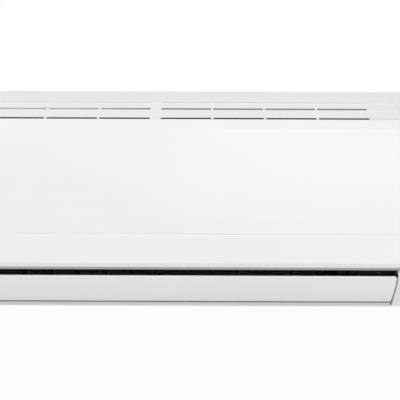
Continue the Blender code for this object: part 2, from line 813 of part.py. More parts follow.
def scroll_line():
    """Inner line of the scroll, from its head behind the fan to the lip of the outlet."""
    steps = 10
    line = []
    for step in range(steps + 1):
        share = step / steps
        gap = SCROLL_HEAD_GAP + (SCROLL_FOOT_GAP - SCROLL_HEAD_GAP) * share
        line.append(polar(FAN_RADIUS + gap, SCROLL_HEAD_ANGLE - (SCROLL_HEAD_ANGLE + 90) * share))
    return line + [FOOT_LIP]


def floor_tilt():
    """Slope of the duct floor, as an angle below the level."""
    foot = scroll_line()[-2]
    return math.atan2(foot[1] - FOOT_LIP[1], FOOT_LIP[0] - foot[0])


def on_floor(back, rise):
    """Point at a distance back along the duct floor from its lip and a rise off it."""
    tilt = floor_tilt()
    along = Vector((math.cos(tilt), -math.sin(tilt)))
    off = Vector((math.sin(tilt), math.cos(tilt)))
    return Vector(FOOT_LIP) - along * back + off * rise


def beside_flap(degrees):
    """Point on the circle kept free for the flap; 0 degrees points into the room, 90 degrees up."""
    angle = math.radians(degrees)
    return FLAP_AXIS[0] + FLAP_REACH * math.cos(angle), FLAP_AXIS[1] + FLAP_REACH * math.sin(angle)


def partition_outline():
    """Outline of the wall at each end of the duct, cut back to let the flap turn."""
    line = scroll_line()
    top = FAN_AXIS[1] + PARTITION_TOP
    return [
        *[tuple(p) for p in line[:-1]],
        (FOOT_LIP[0] - 0.002, FOOT_LIP[1] + 0.002),
        *[beside_flap(degrees) for degrees in (215, 185, 150)],
        (TONGUE[0] - 0.004, CEILING_BACK[1] - 0.006),
        (TONGUE[0] - 0.004, TONGUE[1] + 0.012),
        (TONGUE[0] + 0.004, TONGUE[1] + 0.014),
        (TONGUE[0] + 0.004, top),
        (FAN_AXIS[0], top + 0.020),
        (polar(FAN_RADIUS + SCROLL_HEAD_GAP, SCROLL_HEAD_ANGLE)[0], top + 0.006),
    ]


def chassis_back():
    """Back wall and rear trough of the chassis, with the neck that joins them to the scroll."""
    half = LENGTH / 2 - WALL - END_WALL_INSET
    duct = DUCT_HALF_LENGTH + PARTITION
    top = HEIGHT - WALL - GAP
    front = BACK_DEPTH + WALL
    head = scroll_line()[0]
    back_path = [(front + 0.012, top - WALL), (front, top - WALL), (front, TROUGH_FLOOR - 2 * WALL)]
    trough_path = [
        (front - WALL / 2, TROUGH_FLOOR),
        (head[0] - 0.003, TROUGH_FLOOR - 0.004),
        (head[0], TROUGH_FLOOR + 0.003),
    ]
    neck = [
        (head[0] - 0.004, TROUGH_FLOOR - 0.007),
        (head[0] + 0.001, TROUGH_FLOOR - 0.006),
        (head[0] + 0.0005, TROUGH_FLOOR + 0.001),
        (head[0] - 0.003, TROUGH_FLOOR - 0.003),
    ]
    wall = prism("rear_chassis", ribbon(back_path, -WALL), -half, half)
    trough = prism("trough", ribbon(trough_path, -WALL), -duct, duct)
    scroll = prism("scroll", ribbon(scroll_line(), -WALL), -duct, duct)
    return fuse(wall, trough, scroll, prism("scroll_neck", neck, -duct, duct))


def lip_outline():
    """Rounded front edge of the duct floor, under the flap's foot."""
    depth, height = FOOT_LIP
    return [
        (depth - 0.0040, WALL / 2),
        (depth - 0.0015, 0.0),
        (depth, 0.0),
        (depth + 0.0018, height),
        (depth + 0.0010, height + 0.0008),
        (depth - 0.0010, height + 0.0004),
        (depth - 0.0040, height + 0.0010),
    ]


def chassis_end(tag, side):
    """Walls of one end of the chassis: partition, bearing boss, end floor, end wall and closure."""
    half = LENGTH / 2 - WALL - END_WALL_INSET
    floor_half = FLAP_HALF_LENGTH
    floor_front = FOOT_LIP[0] - END_FLOOR_SETBACK
    top = HEIGHT - WALL - GAP - 0.010
    start = side * DUCT_HALF_LENGTH
    holes = [circle(FAN_AXIS, BEARING_RADIUS + GAP, 20)]
    boss_outline = circle(FAN_AXIS, BEARING_RADIUS + WALL, 20)
    end_outline = [
        (CASING_BACK, END_FLOOR_RISE),
        (floor_front, END_FLOOR_RISE),
        (floor_front, LIP_FOOT),
        (CONTROL_DEPTH[1], CONTROL_HEIGHT[0]),
        (CONTROL_DEPTH[1], CONTROL_HEIGHT[1]),
        (END_WALL_SHOULDER, top),
        (CASING_BACK, top),
    ]
    return [
        side_plate(f"partition_{tag}", partition_outline(), holes, start, start + side * PARTITION),
        side_plate(f"boss_{tag}", boss_outline, holes, start, start + side * (PARTITION + BOSS_LENGTH)),
        block(f"floor_step_{tag}", (side * (floor_half - WALL), side * floor_half),
              (CASING_BACK, floor_front), (WALL / 2, END_FLOOR_RISE + WALL)),
        block(f"end_floor_{tag}", (side * (floor_half - WALL), side * half),
              (CASING_BACK, floor_front), (END_FLOOR_RISE, END_FLOOR_RISE + WALL)),
        prism(f"end_wall_{tag}", end_outline, side * half, side * (half - WALL)),
        prism(f"outlet_closure_{tag}", ribbon(closure_line(), WALL), start, side * floor_half),
    ]


def hook_slot(side):
    """Cutter for the slot that a hook of the wall plate goes in."""
    reach = HOOK_WIDTH / 2 + HOOK_SLOT_MARGIN
    centre = side * HOOK_X
    return block(f"hook_slot_{side}", (centre - reach, centre + reach),
                 (BACK_DEPTH - WALL, BACK_DEPTH + 2 * WALL), (HOOK_HEIGHT - 0.012, HOOK_HEIGHT + 0.004))


def build_rear_chassis():
    """Rear chassis: back wall, rear trough, scroll, duct floor, partitions and end floors."""
    floor_half = FLAP_HALF_LENGTH
    chassis = chassis_back()
    floor = block("floor", (-floor_half, floor_half), (CASING_BACK, FOOT_LIP[0] - 0.001), (0.0, WALL))
    fuse(chassis, floor, prism("foot_lip", lip_outline(), -floor_half, floor_half))
    for side in (-1, 1):
        fuse(chassis, *chassis_end("left" if side < 0 else "right", side))
    for x in (MOTOR_X[0] + 0.006, MOTOR_X[1] - 0.010):
        fuse(chassis, motor_cradle(f"motor_cradle_{round(x * 1000)}", x))
    for rib in range(RIB_COUNT):
        x = DUCT_HALF_LENGTH * (2 * rib / (RIB_COUNT - 1) - 1) * RIB_SPREAD
        fuse(chassis, back_rib(f"back_rib_{rib + 1}", x))
    carve(chassis, hook_slot(-1), hook_slot(1))
    return finish(chassis, "white_plastic")


def closure_line():
    """Line of the wall that closes the outlet beside the duct, behind the flap's sweep."""
    return [
        (LIP_DEPTH - WALL - 0.003, LIP_FOOT + 0.0008),
        (FLAP_AXIS[0] - 0.0238, FLAP_AXIS[1] + 0.0070),
        tuple(on_floor(0.026, 0.0)),
        tuple(on_floor(0.030, -WALL)),
    ]


def motor_cradle(name, x):
    """Rib that holds the lower half of the fan motor."""
    reach = MOTOR_RADIUS + GAP + MOTOR_FLANGE
    low, high = END_FLOOR_RISE + WALL / 2, FAN_AXIS[1] - MOTOR_SPLIT
    outline = [
        (FAN_AXIS[0] - reach, low),
        (FAN_AXIS[0] - reach, high),
        *motor_seat(-5, -175),
        (FAN_AXIS[0] + reach, high),
        (FAN_AXIS[0] + reach - 0.010, low),
    ]
    return prism(name, outline, x, x + CRADLE_WIDTH)


def motor_seat(first, last):
    """Faceted arc whose flats clear the round motor."""
    steps = 10
    turn = (last - first) / steps
    radius = (MOTOR_RADIUS + GAP) / math.cos(math.radians(turn / 2))
    return [polar(radius, first + turn * step) for step in range(steps + 1)]


def back_rib(name, x):
    """Rib between the wall plane and the back of the scroll."""
    line = scroll_line()
    outline = [
        (PLATE_SHEET + GAP, line[0][1] - 0.004),
        *[(p[0] - WALL / 2, p[1]) for p in line[1:6]],
        (PLATE_SHEET + GAP, line[5][1]),
    ]
    return prism(name, outline, x - RIB / 2, x + RIB / 2)


# Wall plate

def build_wall_plate():
    """Wall plate: pressed sheet with screw holes, slots and two hooks."""
    half = PLATE_LENGTH / 2
    low = PLATE_CENTRE_HEIGHT - PLATE_HEIGHT / 2
    high = PLATE_CENTRE_HEIGHT + PLATE_HEIGHT / 2
    ear = low + PLATE_EAR_RISE
    outline = [
        (-half, ear + 0.020),
        (-half + 0.020, ear),
        (-half + PLATE_NOTCH, ear),
        (-half + PLATE_NOTCH, low),
        (half - PLATE_NOTCH, low),
        (half - PLATE_NOTCH, ear),
        (half - 0.020, ear),
        (half, ear + 0.020),
        (half, high),
        (-half, high),
    ]
    holes = []
    for x in PLATE_SCREW_X:
        for height in (high - 0.020, PLATE_CENTRE_HEIGHT - 0.030):
            holes += [circle((side * x, height), PLATE_SCREW_RADIUS, 8) for side in (-1, 1)]
    foot, head = (PLATE_CENTRE_HEIGHT + rise for rise in PLATE_WINDOW_RISE)
    for side in (-1, 1):
        near, far = (side * x for x in PLATE_WINDOW_X)
        holes.append([(near, foot), (far, foot), (far, head), (near, head)])
    plate = perforated("wall_plate", outline, holes, lambda u, v, w: at(u, w, v), 0.0, PLATE_SHEET)
    reach = BACK_DEPTH + WALL + 0.0012
    root = HOOK_HEIGHT - 0.006
    hook_path = [(PLATE_SHEET / 2, root), (reach, root), (reach, HOOK_HEIGHT + 0.002)]
    for side in (-1, 1):
        ends = [side * HOOK_X + end * HOOK_WIDTH / 2 for end in (-1, 1)]
        fuse(plate, prism(f"hook_{side}", ribbon(hook_path, PLATE_SHEET), *ends))
    return finish(plate, "zinc_steel")


# Drain pan and coil


def build_drain_pan():
    """Drain pan under the front slab; its underside is the ceiling of the duct."""
    front = PAN_FRONT_DEPTH
    sill = FILTER_FRONT - 0.0004
    dam = FRONT_SLAB_DEPTH - COIL_THICKNESS / 2
    outline = [
        TONGUE,
        CEILING_BACK,
        (front, LIP_FOOT + CEILING_FRONT_DROP),
        (front, LIP_FOOT + 0.005),
        (sill, LIP_FOOT + 0.012),
        (sill, FILTER_SILL),
        (sill - PAN_WALL, FILTER_SILL),
        (sill - PAN_WALL, PAN_FLOOR + 0.0005),
        (FRONT_SLAB_DEPTH, PAN_FLOOR - 0.0045),
        (dam - 0.0040, PAN_FLOOR),
        (dam - 0.0060, PAN_FLOOR + PAN_DAM),
        (dam - 0.0090, PAN_FLOOR + PAN_DAM),
    ]
    half = DUCT_HALF_LENGTH - GAP
    pan = prism("drain_pan", outline, -half, half)
    centre = (FRONT_SLAB_DEPTH, PAN_FLOOR - 0.0060)
    for side in (-1, 1):
        spigot = disc(f"spigot_{side}", (side * (half - 0.002), side * (half + SPIGOT_LENGTH)),
                      centre, SPIGOT_RADIUS, 12)
        fuse(pan, spigot)
        drain = disc(f"spigot_bore_{side}", (side * (half - 0.010), side * (half + SPIGOT_LENGTH + 0.002)),
                     centre, SPIGOT_RADIUS - SPIGOT_WALL, 12)
        carve(pan, drain)
    finish(pan, "grey_plastic")
    start, end = half + 0.004, half + SPIGOT_LENGTH + GAP + WALL
    plug = disc("drain_plug", (start, end), centre, SPIGOT_RADIUS + 0.0020, 12)
    socket = disc("plug_socket", (start - 0.001, end - WALL), centre, SPIGOT_RADIUS + GAP, 12)
    finish(carve(plug, socket), "rubber")


def slab_corners(start, end):
    """Corners of a slab from its centre line: outer start, outer end, inner end, inner start."""
    start, end = Vector(start), Vector(end)
    along = (end - start).normalized()
    off = Vector((-along.y, along.x)) * COIL_THICKNESS / 2
    return [start - off, end - off, end + off, start + off]


def coil_lines():
    """Centre lines of the slabs, each with its outer side on the right of the line."""
    front = ((FRONT_SLAB_DEPTH, FRONT_SLAB_FOOT), (FRONT_SLAB_DEPTH, KNEE))
    rear = (REAR_SLAB[1], REAR_SLAB[0])
    return {"coil_front": front, "coil_upper": UPPER_SLAB, "coil_rear": rear}


def build_coil_slab(name, start, end):
    """Finned slab, whose grooves stand for gaps between groups of fins."""
    outer_start, outer_end, inner_end, inner_start = slab_corners(start, end)
    pitch = 2 * COIL_HALF_LENGTH / FIN_GROOVES
    comb = [(-COIL_HALF_LENGTH, 0.0)]
    for groove in range(FIN_GROOVES):
        left = -COIL_HALF_LENGTH + groove * pitch
        comb += [(left + pitch * 0.3, 0.0), (left + pitch * 0.3, FIN_GROOVE_DEPTH),
                 (left + pitch * 0.7, FIN_GROOVE_DEPTH), (left + pitch * 0.7, 0.0)]
    comb += [(COIL_HALF_LENGTH, 0.0), (COIL_HALF_LENGTH, COIL_THICKNESS)]
    comb.append((-COIL_HALF_LENGTH, COIL_THICKNESS))
    loops = []
    for outer, inner in ((outer_start, inner_start), (outer_end, inner_end)):
        inward = (inner - outer).normalized()
        loops.append([at(x, *(outer + inward * deep)) for x, deep in comb])
    return finish(loft(name, loops), "aluminium")


def coil_silhouette():
    """Outline of the coil's end plates, round all three slabs."""
    front, upper, rear = (slab_corners(*line) for line in coil_lines().values())
    foot = PAN_FLOOR + 0.0005 + GAP
    return [
        (front[0].x, foot + 0.001), tuple(front[1]), tuple(upper[0]), tuple(upper[1]),
        tuple(rear[0]), tuple(rear[1]), tuple(rear[2]), tuple(rear[3]),
        (upper[2].x + 0.004, upper[2].y - 0.012), tuple(upper[3]),
        (front[2].x, front[2].y - 0.006), (front[3].x, foot),
    ]


def tube_places():
    """Centres of the hairpin tubes in the end plates, in pairs that a bend joins."""
    pairs = []
    for start, end in coil_lines().values():
        start, end = Vector(start), Vector(end)
        along = (end - start).normalized()
        off = Vector((-along.y, along.x)) * TUBE_ROW_SPACING / 2
        count = int((end - start).length // TUBE_PITCH)
        margin = ((end - start).length - (count - 1) * TUBE_PITCH) / 2
        spots = [start + along * (margin + TUBE_PITCH * step) for step in range(count)]
        pairs += [(spot - off, spot + off) for spot in spots]
    return pairs


def build_coil_end(name, side):
    """End plate of the coil with its brazed return bends."""
    near = side * (COIL_HALF_LENGTH + GAP)
    face = near + side * COIL_END_PLATE
    plate = side_plate(name, coil_silhouette(), [], near, face)
    places = tube_places() if side < 0 else tube_places()[:-1]
    for number, (a, b) in enumerate(places):
        steps = 3
        middle = (a + b) / 2
        path = [at(near + side * COIL_END_PLATE / 2, *a)]
        for step in range(steps + 1):
            angle = math.pi * step / steps
            spot = middle + (a - middle) * math.cos(angle)
            reach = TUBE_STRAIGHT + math.sin(angle) * (a - b).length / 2
            path.append(at(face + side * reach, *spot))
        path.append(at(near + side * COIL_END_PLATE / 2, *b))
        fuse(plate, tube(f"{name}_bend_{number + 1}", path, TUBE_RADIUS, 5))
    return finish(plate, "aluminium")


def build_coil_cap():
    """Sheet cap over the ridge where the upper and rear slabs meet."""
    upper, rear = (slab_corners(*coil_lines()[name]) for name in ("coil_upper", "coil_rear"))
    lift = 2 * GAP
    off_upper = (upper[1] - upper[2]).normalized() * lift
    off_rear = (rear[0] - rear[3]).normalized() * lift
    down_upper = (upper[0] - upper[1]).normalized() * CAP_SKIRT
    down_rear = (rear[1] - rear[0]).normalized() * CAP_SKIRT
    path = [rear[0] + off_rear + down_rear, rear[0] + off_rear * 2, upper[1] + off_upper * 2,
            upper[1] + off_upper + down_upper]
    outline = ribbon([tuple(p) for p in path], SHEET)
    return finish(prism("coil_cap", outline, -COIL_HALF_LENGTH, COIL_HALF_LENGTH), "zinc_steel")


def build_pipes():
    """Gas and liquid pipes from the coil's right end down into the channel, with flare nuts."""
    start_x = COIL_HALF_LENGTH + COIL_END_PLATE + 2 * GAP
    outer, inner = tube_places()[-1]
    for (name, (radius, depth, level, end)), start in zip(PIPES.items(), (outer, inner)):
        corners = [
            at(start_x, *start),
            at(PIPE_RISER_X, *start),
            at(PIPE_RISER_X, depth, start[1] - 0.018),
            at(PIPE_RISER_X, depth, level),
            at(end, depth, level),
        ]
        finish(tube(name, bend(corners, PIPE_BEND, 3), radius, 6), "copper")
        nut = [at(end - GAP, depth, level), at(end - NUT_LENGTH, depth, level)]
        finish(tube(f"{name}_nut", nut, radius + NUT_WALL, 6), "brass")


# Filters


def filter_line(rows):
    """Centre line of a filter with its outward normals, from the sill over the crown."""
    radius = FILTER_ARC_RADIUS
    centre = (FILTER_FRONT - FILTER_THICKNESS / 2 - radius, HEIGHT - FILTER_ARC_CENTRE_BELOW_CROWN)
    straight = centre[1] - FILTER_SILL - GAP
    arc = radius * math.pi / 2
    back = centre[0] - FILTER_BACK_DEPTH
    total = straight + arc + back
    points = []
    for share in rows:
        run = share * total
        if run <= straight:
            points.append(((centre[0] + radius, FILTER_SILL + GAP + run), (1, 0)))
        elif run <= straight + arc:
            angle = (run - straight) / radius
            away = (math.cos(angle), math.sin(angle))
            points.append(((centre[0] + radius * away[0], centre[1] + radius * away[1]), away))
        else:
            points.append(((centre[0] - (run - straight - arc), centre[1] + radius), (0, 1)))
    return points, total


def build_filter(name, side, carrier):
    """Filter frame bent over the coil, with open meshes between its bars."""
    width = FILTER_OUTER_X - FILTER_INNER_X
    opening = (width - FILTER_BAR * (FILTER_COLUMNS + 1)) / FILTER_COLUMNS
    us = []
    for column in range(FILTER_COLUMNS + 1):
        left = FILTER_INNER_X + column * (opening + FILTER_BAR)
        us += [left, left + FILTER_BAR]
    total = filter_line([0])[1]
    bar = FILTER_BAR / total
    shares = [edge for start in (*FILTER_BARS, 1.0 - bar) for edge in (start, start + bar)]
    line, _ = filter_line(shares)

    def is_solid(i, j):
        return i % 2 == 0 or j % 2 == 0

    def place(u, v, w):
        (depth, height), away = line[v]
        return at(side * u, depth + away[0] * w, height + away[1] * w)

    half = FILTER_THICKNESS / 2
    grid = lattice(name, us, range(len(shares)), is_solid, place, -half, half)
    return hang(finish(grid, "filter_blue"), carrier)


# Fan


def blade_loop(number):
    """Section of one blade: a thin curved vane between the inner and outer radii."""
    base = 2 * math.pi * number / FAN_BLADES

    def spot(share, off):
        radius = BLADE_INNER_RADIUS + (BLADE_OUTER_RADIUS - BLADE_INNER_RADIUS) * share
        angle = base + BLADE_SWEEP * share**2 + off / radius
        return FAN_AXIS[0] + radius * math.cos(angle), FAN_AXIS[1] + radius * math.sin(angle)

    half = BLADE_THICKNESS / 2
    return [spot(0.0, 0.0), spot(0.35, -half), spot(0.72, -half), spot(1.0, 0.0), spot(0.55, half)]


def build_fan(carrier):
    """Cross-flow wheel: rows of blades between discs, with a stub at one end and a hub at the other."""
    blades = [blade_loop(number) for number in range(FAN_BLADES)]
    rim = circle(FAN_AXIS, FAN_RADIUS, FAN_BLADES, turn=0.05)
    bore = circle(FAN_AXIS, FAN_BORE_RADIUS, 14)
    stub = circle(FAN_AXIS, STUB_RADIUS, 10)
    hub = circle(FAN_AXIS, HUB_RADIUS, 14)
    shaft = circle(FAN_AXIS, SHAFT_RADIUS + GAP, 14)
    points, faces = [], []

    def ring(loop, x):
        start = len(points)
        points.extend(at(x, *spot) for spot in loop)
        return list(range(start, len(points)))

    def skin(a, b):
        faces.extend([a[k], a[(k + 1) % len(a)], b[(k + 1) % len(a)], b[k]] for k in range(len(a)))

    def face(loops, rings):
        flat = [index for one in rings for index in one]
        faces.extend([flat[k] for k in corner] for corner in fill_loops(loops))

    step = (2 * FAN_HALF_LENGTH - FAN_DISC) / FAN_SECTIONS
    before = None
    for number in range(FAN_SECTIONS + 1):
        left = -FAN_HALF_LENGTH + number * step
        right = left + FAN_DISC
        rim_left, rim_right = ring(rim, left), ring(rim, right)
        skin(rim_left, rim_right)
        if number == 0:
            root = ring(stub, left)
            face([rim, stub], [rim_left, root])
            tip = ring(stub, left - STUB_LENGTH)
            skin(root, tip)
            faces.append(tip)
            middle_right, middle = [], []
        elif number == FAN_SECTIONS:
            middle, middle_left = [shaft], [ring(shaft, left)]
            outer, bore_end = ring(hub, right + HUB_LENGTH), ring(shaft, right + HUB_LENGTH)
            root = ring(hub, right)
            face([rim, hub], [rim_right, root])
            skin(root, outer)
            face([hub, shaft], [outer, bore_end])
            skin(middle_left[0], bore_end)
        else:
            middle, middle_left, middle_right = [bore], [ring(bore, left)], [ring(bore, right)]
            skin(middle_left[0], middle_right[0])
        if number:
            ends = [ring(loop, left) for loop in blades]
            for one, other in zip(before, ends):
                skin(one, other)
            face([rim, *middle, *blades], [rim_left, *middle_left, *ends])
        if number < FAN_SECTIONS:
            before = [ring(loop, right) for loop in blades]
            face([rim, *middle, *blades], [rim_right, *middle_right, *before])
    return hang(finish(solid("cross_flow_fan", points, faces), "grey_plastic"), carrier)


def build_fan_drive(carrier):
    """Motor with its shaft, the cover over it and the rubber bearing at the other end."""
    start = DUCT_HALF_LENGTH - 0.006
    shaft = disc("motor_shaft", (start, MOTOR_X[0] - GAP), FAN_AXIS, SHAFT_RADIUS, 12)
    hang(finish(shaft, "zinc_steel"), carrier)
    motor = disc("fan_motor", MOTOR_X, FAN_AXIS, MOTOR_RADIUS, 28)
    boss_span = (MOTOR_X[1] - 0.001, MOTOR_X[1] + MOTOR_BOSS_LENGTH)
    collar = disc("motor_collar", boss_span, FAN_AXIS, MOTOR_BOSS_RADIUS, 16)
    finish(fuse(motor, collar), "black_plastic")
    reach = MOTOR_RADIUS + GAP + MOTOR_FLANGE
    foot = FAN_AXIS[1] - MOTOR_SPLIT + GAP
    path = [(FAN_AXIS[0] + reach, foot), *motor_seat(175, 5), (FAN_AXIS[0] - reach, foot)]
    cover = prism("motor_cover", ribbon(path, -WALL), MOTOR_X[0] + 0.003, MOTOR_X[1] - 0.003)
    finish(cover, "grey_plastic")
    hole = circle(FAN_AXIS, STUB_RADIUS + GAP, 14)
    bearing = side_plate("fan_bearing", circle(FAN_AXIS, BEARING_RADIUS, 20), [hole],
                         -DUCT_HALF_LENGTH - 0.0005, -DUCT_HALF_LENGTH - PARTITION - BOSS_LENGTH)
    finish(bearing, "rubber")


# Flap


def flap_frame():
    """Unit vectors along the flap, foot to head, and from its face inwards."""
    along = (Vector(FLAP_HEAD) - Vector(FLAP_FOOT)).normalized()
    return along, Vector((-along.y, along.x))


def flap_length():
    """Straight distance from the flap's foot to its head."""
    return (Vector(FLAP_HEAD) - Vector(FLAP_FOOT)).length


def flap_line(off, low=0.0, high=1.0, steps=6):
    """Points along the flap's curved face, moved inwards by off."""
    along, inward = flap_frame()
    line = []
    for step in range(steps + 1):
        share = low + (high - low) * step / steps
        bulge = FLAP_BULGE * 4 * share * (1 - share)
        line.append(tuple(Vector(FLAP_FOOT) + along * share * flap_length() + inward * (off - bulge)))
    return line


def flap_outline(trim=0.0):
    """Closed side outline of the flap, with a round head and a thin foot."""
    along, inward = flap_frame()
    radius = FLAP_THICKNESS / 2
    head = 1.0 - trim - radius / flap_length()
    outer = flap_line(0.0, 0.0, head)
    inner = flap_line(FLAP_THICKNESS, FLAP_FOOT_TAPER, head)
    centre = (Vector(outer[-1]) + Vector(inner[-1])) / 2
    nose = [tuple(centre + radius * (along * math.sin(turn) - inward * math.cos(turn)))
            for turn in (math.pi * step / 4 for step in (1, 2, 3))]
    return outer + nose + inner[::-1]


def flap_lug(name, x, width, hole=0.0):
    """Lug on the flap's inner face that reaches the hinge axis."""
    along, inward = flap_frame()
    axis = Vector(FLAP_AXIS)
    rise = (axis - Vector(FLAP_FOOT)).dot(inward)
    arc = [tuple(axis + FLAP_LUG_RADIUS * (along * math.cos(a) + inward * math.sin(a)))
           for a in (math.pi * step / 6 for step in range(7))]
    root = [tuple(axis - along * (FLAP_LUG_RADIUS + 0.001) - inward * (rise - FLAP_THICKNESS * 0.5)),
            tuple(axis + along * (FLAP_LUG_RADIUS + 0.006) - inward * (rise - FLAP_THICKNESS * 0.5))]
    holes = [circle(FLAP_AXIS, hole, 12)] if hole else []
    return side_plate(name, [*arc, *root], holes, x - width / 2, x + width / 2)


def build_flap(carrier):
    """Outlet flap with lugs and pins for its brackets and ends."""
    half = FLAP_HALF_LENGTH
    stations = [(-half + run, flap_outline(trim)) for run, trim in FLAP_CORNERS]
    stations += [(-x, line) for x, line in reversed(stations)]
    flap = loft("outlet_flap", [[at(x, *p) for p in line] for x, line in stations])
    for number, x in enumerate((-BRACKET_X, 0.0, BRACKET_X)):
        lug = flap_lug(f"flap_lug_{number + 1}", x, FLAP_LUG_WIDTH)
        span = (x - BRACKET_WIDTH / 4, x + BRACKET_WIDTH / 4)
        pin = disc(f"flap_pin_{number + 1}", span, FLAP_AXIS, FLAP_PIN_RADIUS, 10)
        fuse(flap, lug, pin)
    left = flap_lug("flap_lug_left", -half + 0.004, 0.004)
    span = (-half + 0.003, -half - FLAP_END_GAP - CHEEK_WALL + 0.0005)
    end_pin = disc("flap_end_pin", span, FLAP_AXIS, FLAP_END_PIN_RADIUS, 10)
    right = flap_lug("flap_lug_right", half - 0.004, 0.005, hole=FLAP_END_PIN_RADIUS + GAP)
    fuse(flap, left, end_pin, right)
    return hang(finish(flap, "white_plastic"), carrier)


def build_flap_drive(carrier):
    """Stepper motor in the right cheek and the coupling that turns the flap."""
    face = FLAP_HALF_LENGTH + FLAP_END_GAP + CHEEK_WALL + GAP
    centre = tuple(Vector(FLAP_AXIS) + flap_frame()[1] * FLAP_MOTOR_OFFSET)
    motor = disc("flap_motor", (face, face + FLAP_MOTOR_LENGTH), centre, FLAP_MOTOR_RADIUS, 20)
    finish(motor, "zinc_steel")
    span = (FLAP_HALF_LENGTH - COUPLING_REACH, face - GAP)
    coupling = disc("flap_coupling", span, FLAP_AXIS, FLAP_END_PIN_RADIUS, 12)
    hang(finish(coupling, "black_plastic"), carrier)


def build_flap_bracket(name, x):
    """Forked arm from the duct ceiling down to a flap pin."""
    def ceiling(depth):
        share = (depth - CEILING_BACK[0]) / (PAN_FRONT_DEPTH - CEILING_BACK[0])
        return CEILING_BACK[1] + (LIP_FOOT + CEILING_FRONT_DROP - CEILING_BACK[1]) * share - GAP

    rest = circle(FLAP_AXIS, FLAP_LUG_RADIUS, 12, turn=math.radians(150))[:8]
    back, front = (PAN_FRONT_DEPTH - setback for setback in BRACKET_SETBACK)
    outline = [
        (back, ceiling(back)),
        *rest,
        (front - 0.001, ceiling(front) - 0.010),
        (front, ceiling(front)),
    ]
    head = [
        (back, ceiling(back)),
        (back + 0.001, ceiling(back) - BRACKET_HEAD),
        (front - 0.001, ceiling(front) - BRACKET_HEAD),
        (front, ceiling(front)),
    ]
    hole = circle(FLAP_AXIS, FLAP_PIN_RADIUS + GAP, 10)
    half = BRACKET_WIDTH / 2
    inner = FLAP_LUG_WIDTH / 2 + 2 * GAP
    bracket = prism(name, head, x - half, x + half)
    for tag, side in (("a", -1), ("b", 1)):
        fuse(bracket, side_plate(f"{name}_{tag}", outline, [hole], x + side * inner, x + side * half))
    return finish(bracket, "grey_plastic")


# Vanes, built about their own pivot: local +Z is the pivot, local -Y points down the duct


def vane_outline():
    """Side outline of a vane as (down the duct, off the floor)."""
    back, front = -VANE_BACK, VANE_FRONT
    low = RAIL_HEIGHT + 4 * GAP
    hook = -LINK_OFFSET - LINK_PIN / 2
    return [
        (back + 0.003, low),
        (front - VANE_CORNER, low),
        (front, low + 0.006),
        (front, VANE_HEIGHT_FRONT - VANE_CORNER),
        (front - VANE_CORNER, VANE_HEIGHT_FRONT),
        (back + 0.006, VANE_HEIGHT_BACK),
        (back + 0.003, VANE_HEIGHT_BACK - 0.006),
        (hook, LINK_LEVEL + LINK_NOTCH),
        (hook, LINK_LEVEL - LINK_NOTCH),
    ]


def vane_mesh():
    """Mesh that every vane shares: a thin blade with a link window and a pivot pin."""
    near, far = -LINK_OFFSET + LINK_PIN / 2, -LINK_OFFSET + LINK_WINDOW_REACH
    low, high = LINK_LEVEL - LINK_WINDOW_HALF, LINK_LEVEL + LINK_WINDOW_HALF
    window = [(near, low), (far, low), (far, high), (near, high)]
    half = VANE_THICKNESS / 2

    def upright(u, v, w):
        return Vector((w, -u, v))

    blade = perforated("vane_blank", vane_outline(), [window], upright, -half, half)
    pivot_ends = [Vector((0, 0, RAIL_HEIGHT - 0.0026)), Vector((0, 0, RAIL_HEIGHT + 0.006))]
    pivot = tube("vane_pivot", pivot_ends, PIVOT_RADIUS, 8)
    fuse(blade, pivot)
    bpy.context.view_layer.update()
    mesh = bpy.data.meshes.new_from_object(blade.evaluated_get(bpy.context.evaluated_depsgraph_get()))
    for blank in (blade, pivot):
        bpy.data.objects.remove(blank)
    return mesh


def vane_xs(side):
    """Places of the vanes of one group along the unit, from the middle outwards."""
    return [side * (VANE_FIRST_X + VANE_PITCH * number) for number in range(VANES_PER_SIDE)]


def strip_outline(xs, side, overhang, width):
    """Outline of a flat strip that runs past the first and last of the vanes."""
    left, right = sorted((xs[0] - side * overhang, xs[-1] + side * overhang))
    half = width / 2
    return [(left, -half), (right, -half), (right, half), (left, half)]


def build_vanes():
    """Two groups of upright vanes with a rail and a link bar each."""
    mesh = vane_mesh()
    tilt = floor_tilt()
    pivot = at(0, *on_floor(VANE_SETBACK, 0.0))
    place = Matrix.Translation(pivot) @ Matrix.Rotation(tilt, 4, "X")
    for tag, side in (("left", -1), ("right", 1)):
        spots = vane_xs(side)
        for number, x in enumerate(spots):
            vane = bpy.data.objects.new(f"vane_{tag}_{number + 1}", mesh)
            bpy.context.scene.collection.objects.link(vane)
            vane.location = pivot + Vector((x, 0, 0))
            vane.rotation_euler = (tilt, 0, 0)
            if not mesh.materials:
                finish(vane, "grey_plastic")
        sockets = [circle((x, 0.0), PIVOT_RADIUS + 2 * GAP, 6) for x in spots]
        rail_outline = strip_outline(spots, side, RAIL_OVERHANG, RAIL_WIDTH)
        rail = perforated(f"vane_rail_{tag}", rail_outline, sockets,
                          lambda u, v, w: place @ Vector((u, -v, w)), GAP, RAIL_HEIGHT)
        finish(rail, "grey_plastic")
        carrier = axle(f"vane_link_{tag}_pin", place @ Vector((spots[0], LINK_OFFSET, LINK_LEVEL)))
        pins = [circle((x, 0.0), LINK_PIN / 2 * LINK_PIN_CORNER + 2 * GAP, 6) for x in spots]
        level = LINK_LEVEL - LINK_THICKNESS / 2
        bar = perforated(f"vane_link_{tag}", strip_outline(spots, side, LINK_OVERHANG, LINK_WIDTH), pins,
                         lambda u, v, w: place @ Vector((u, LINK_OFFSET - v, w)),
                         level, level + LINK_THICKNESS)
        hang(finish(bar, "grey_plastic"), carrier)


# Controls


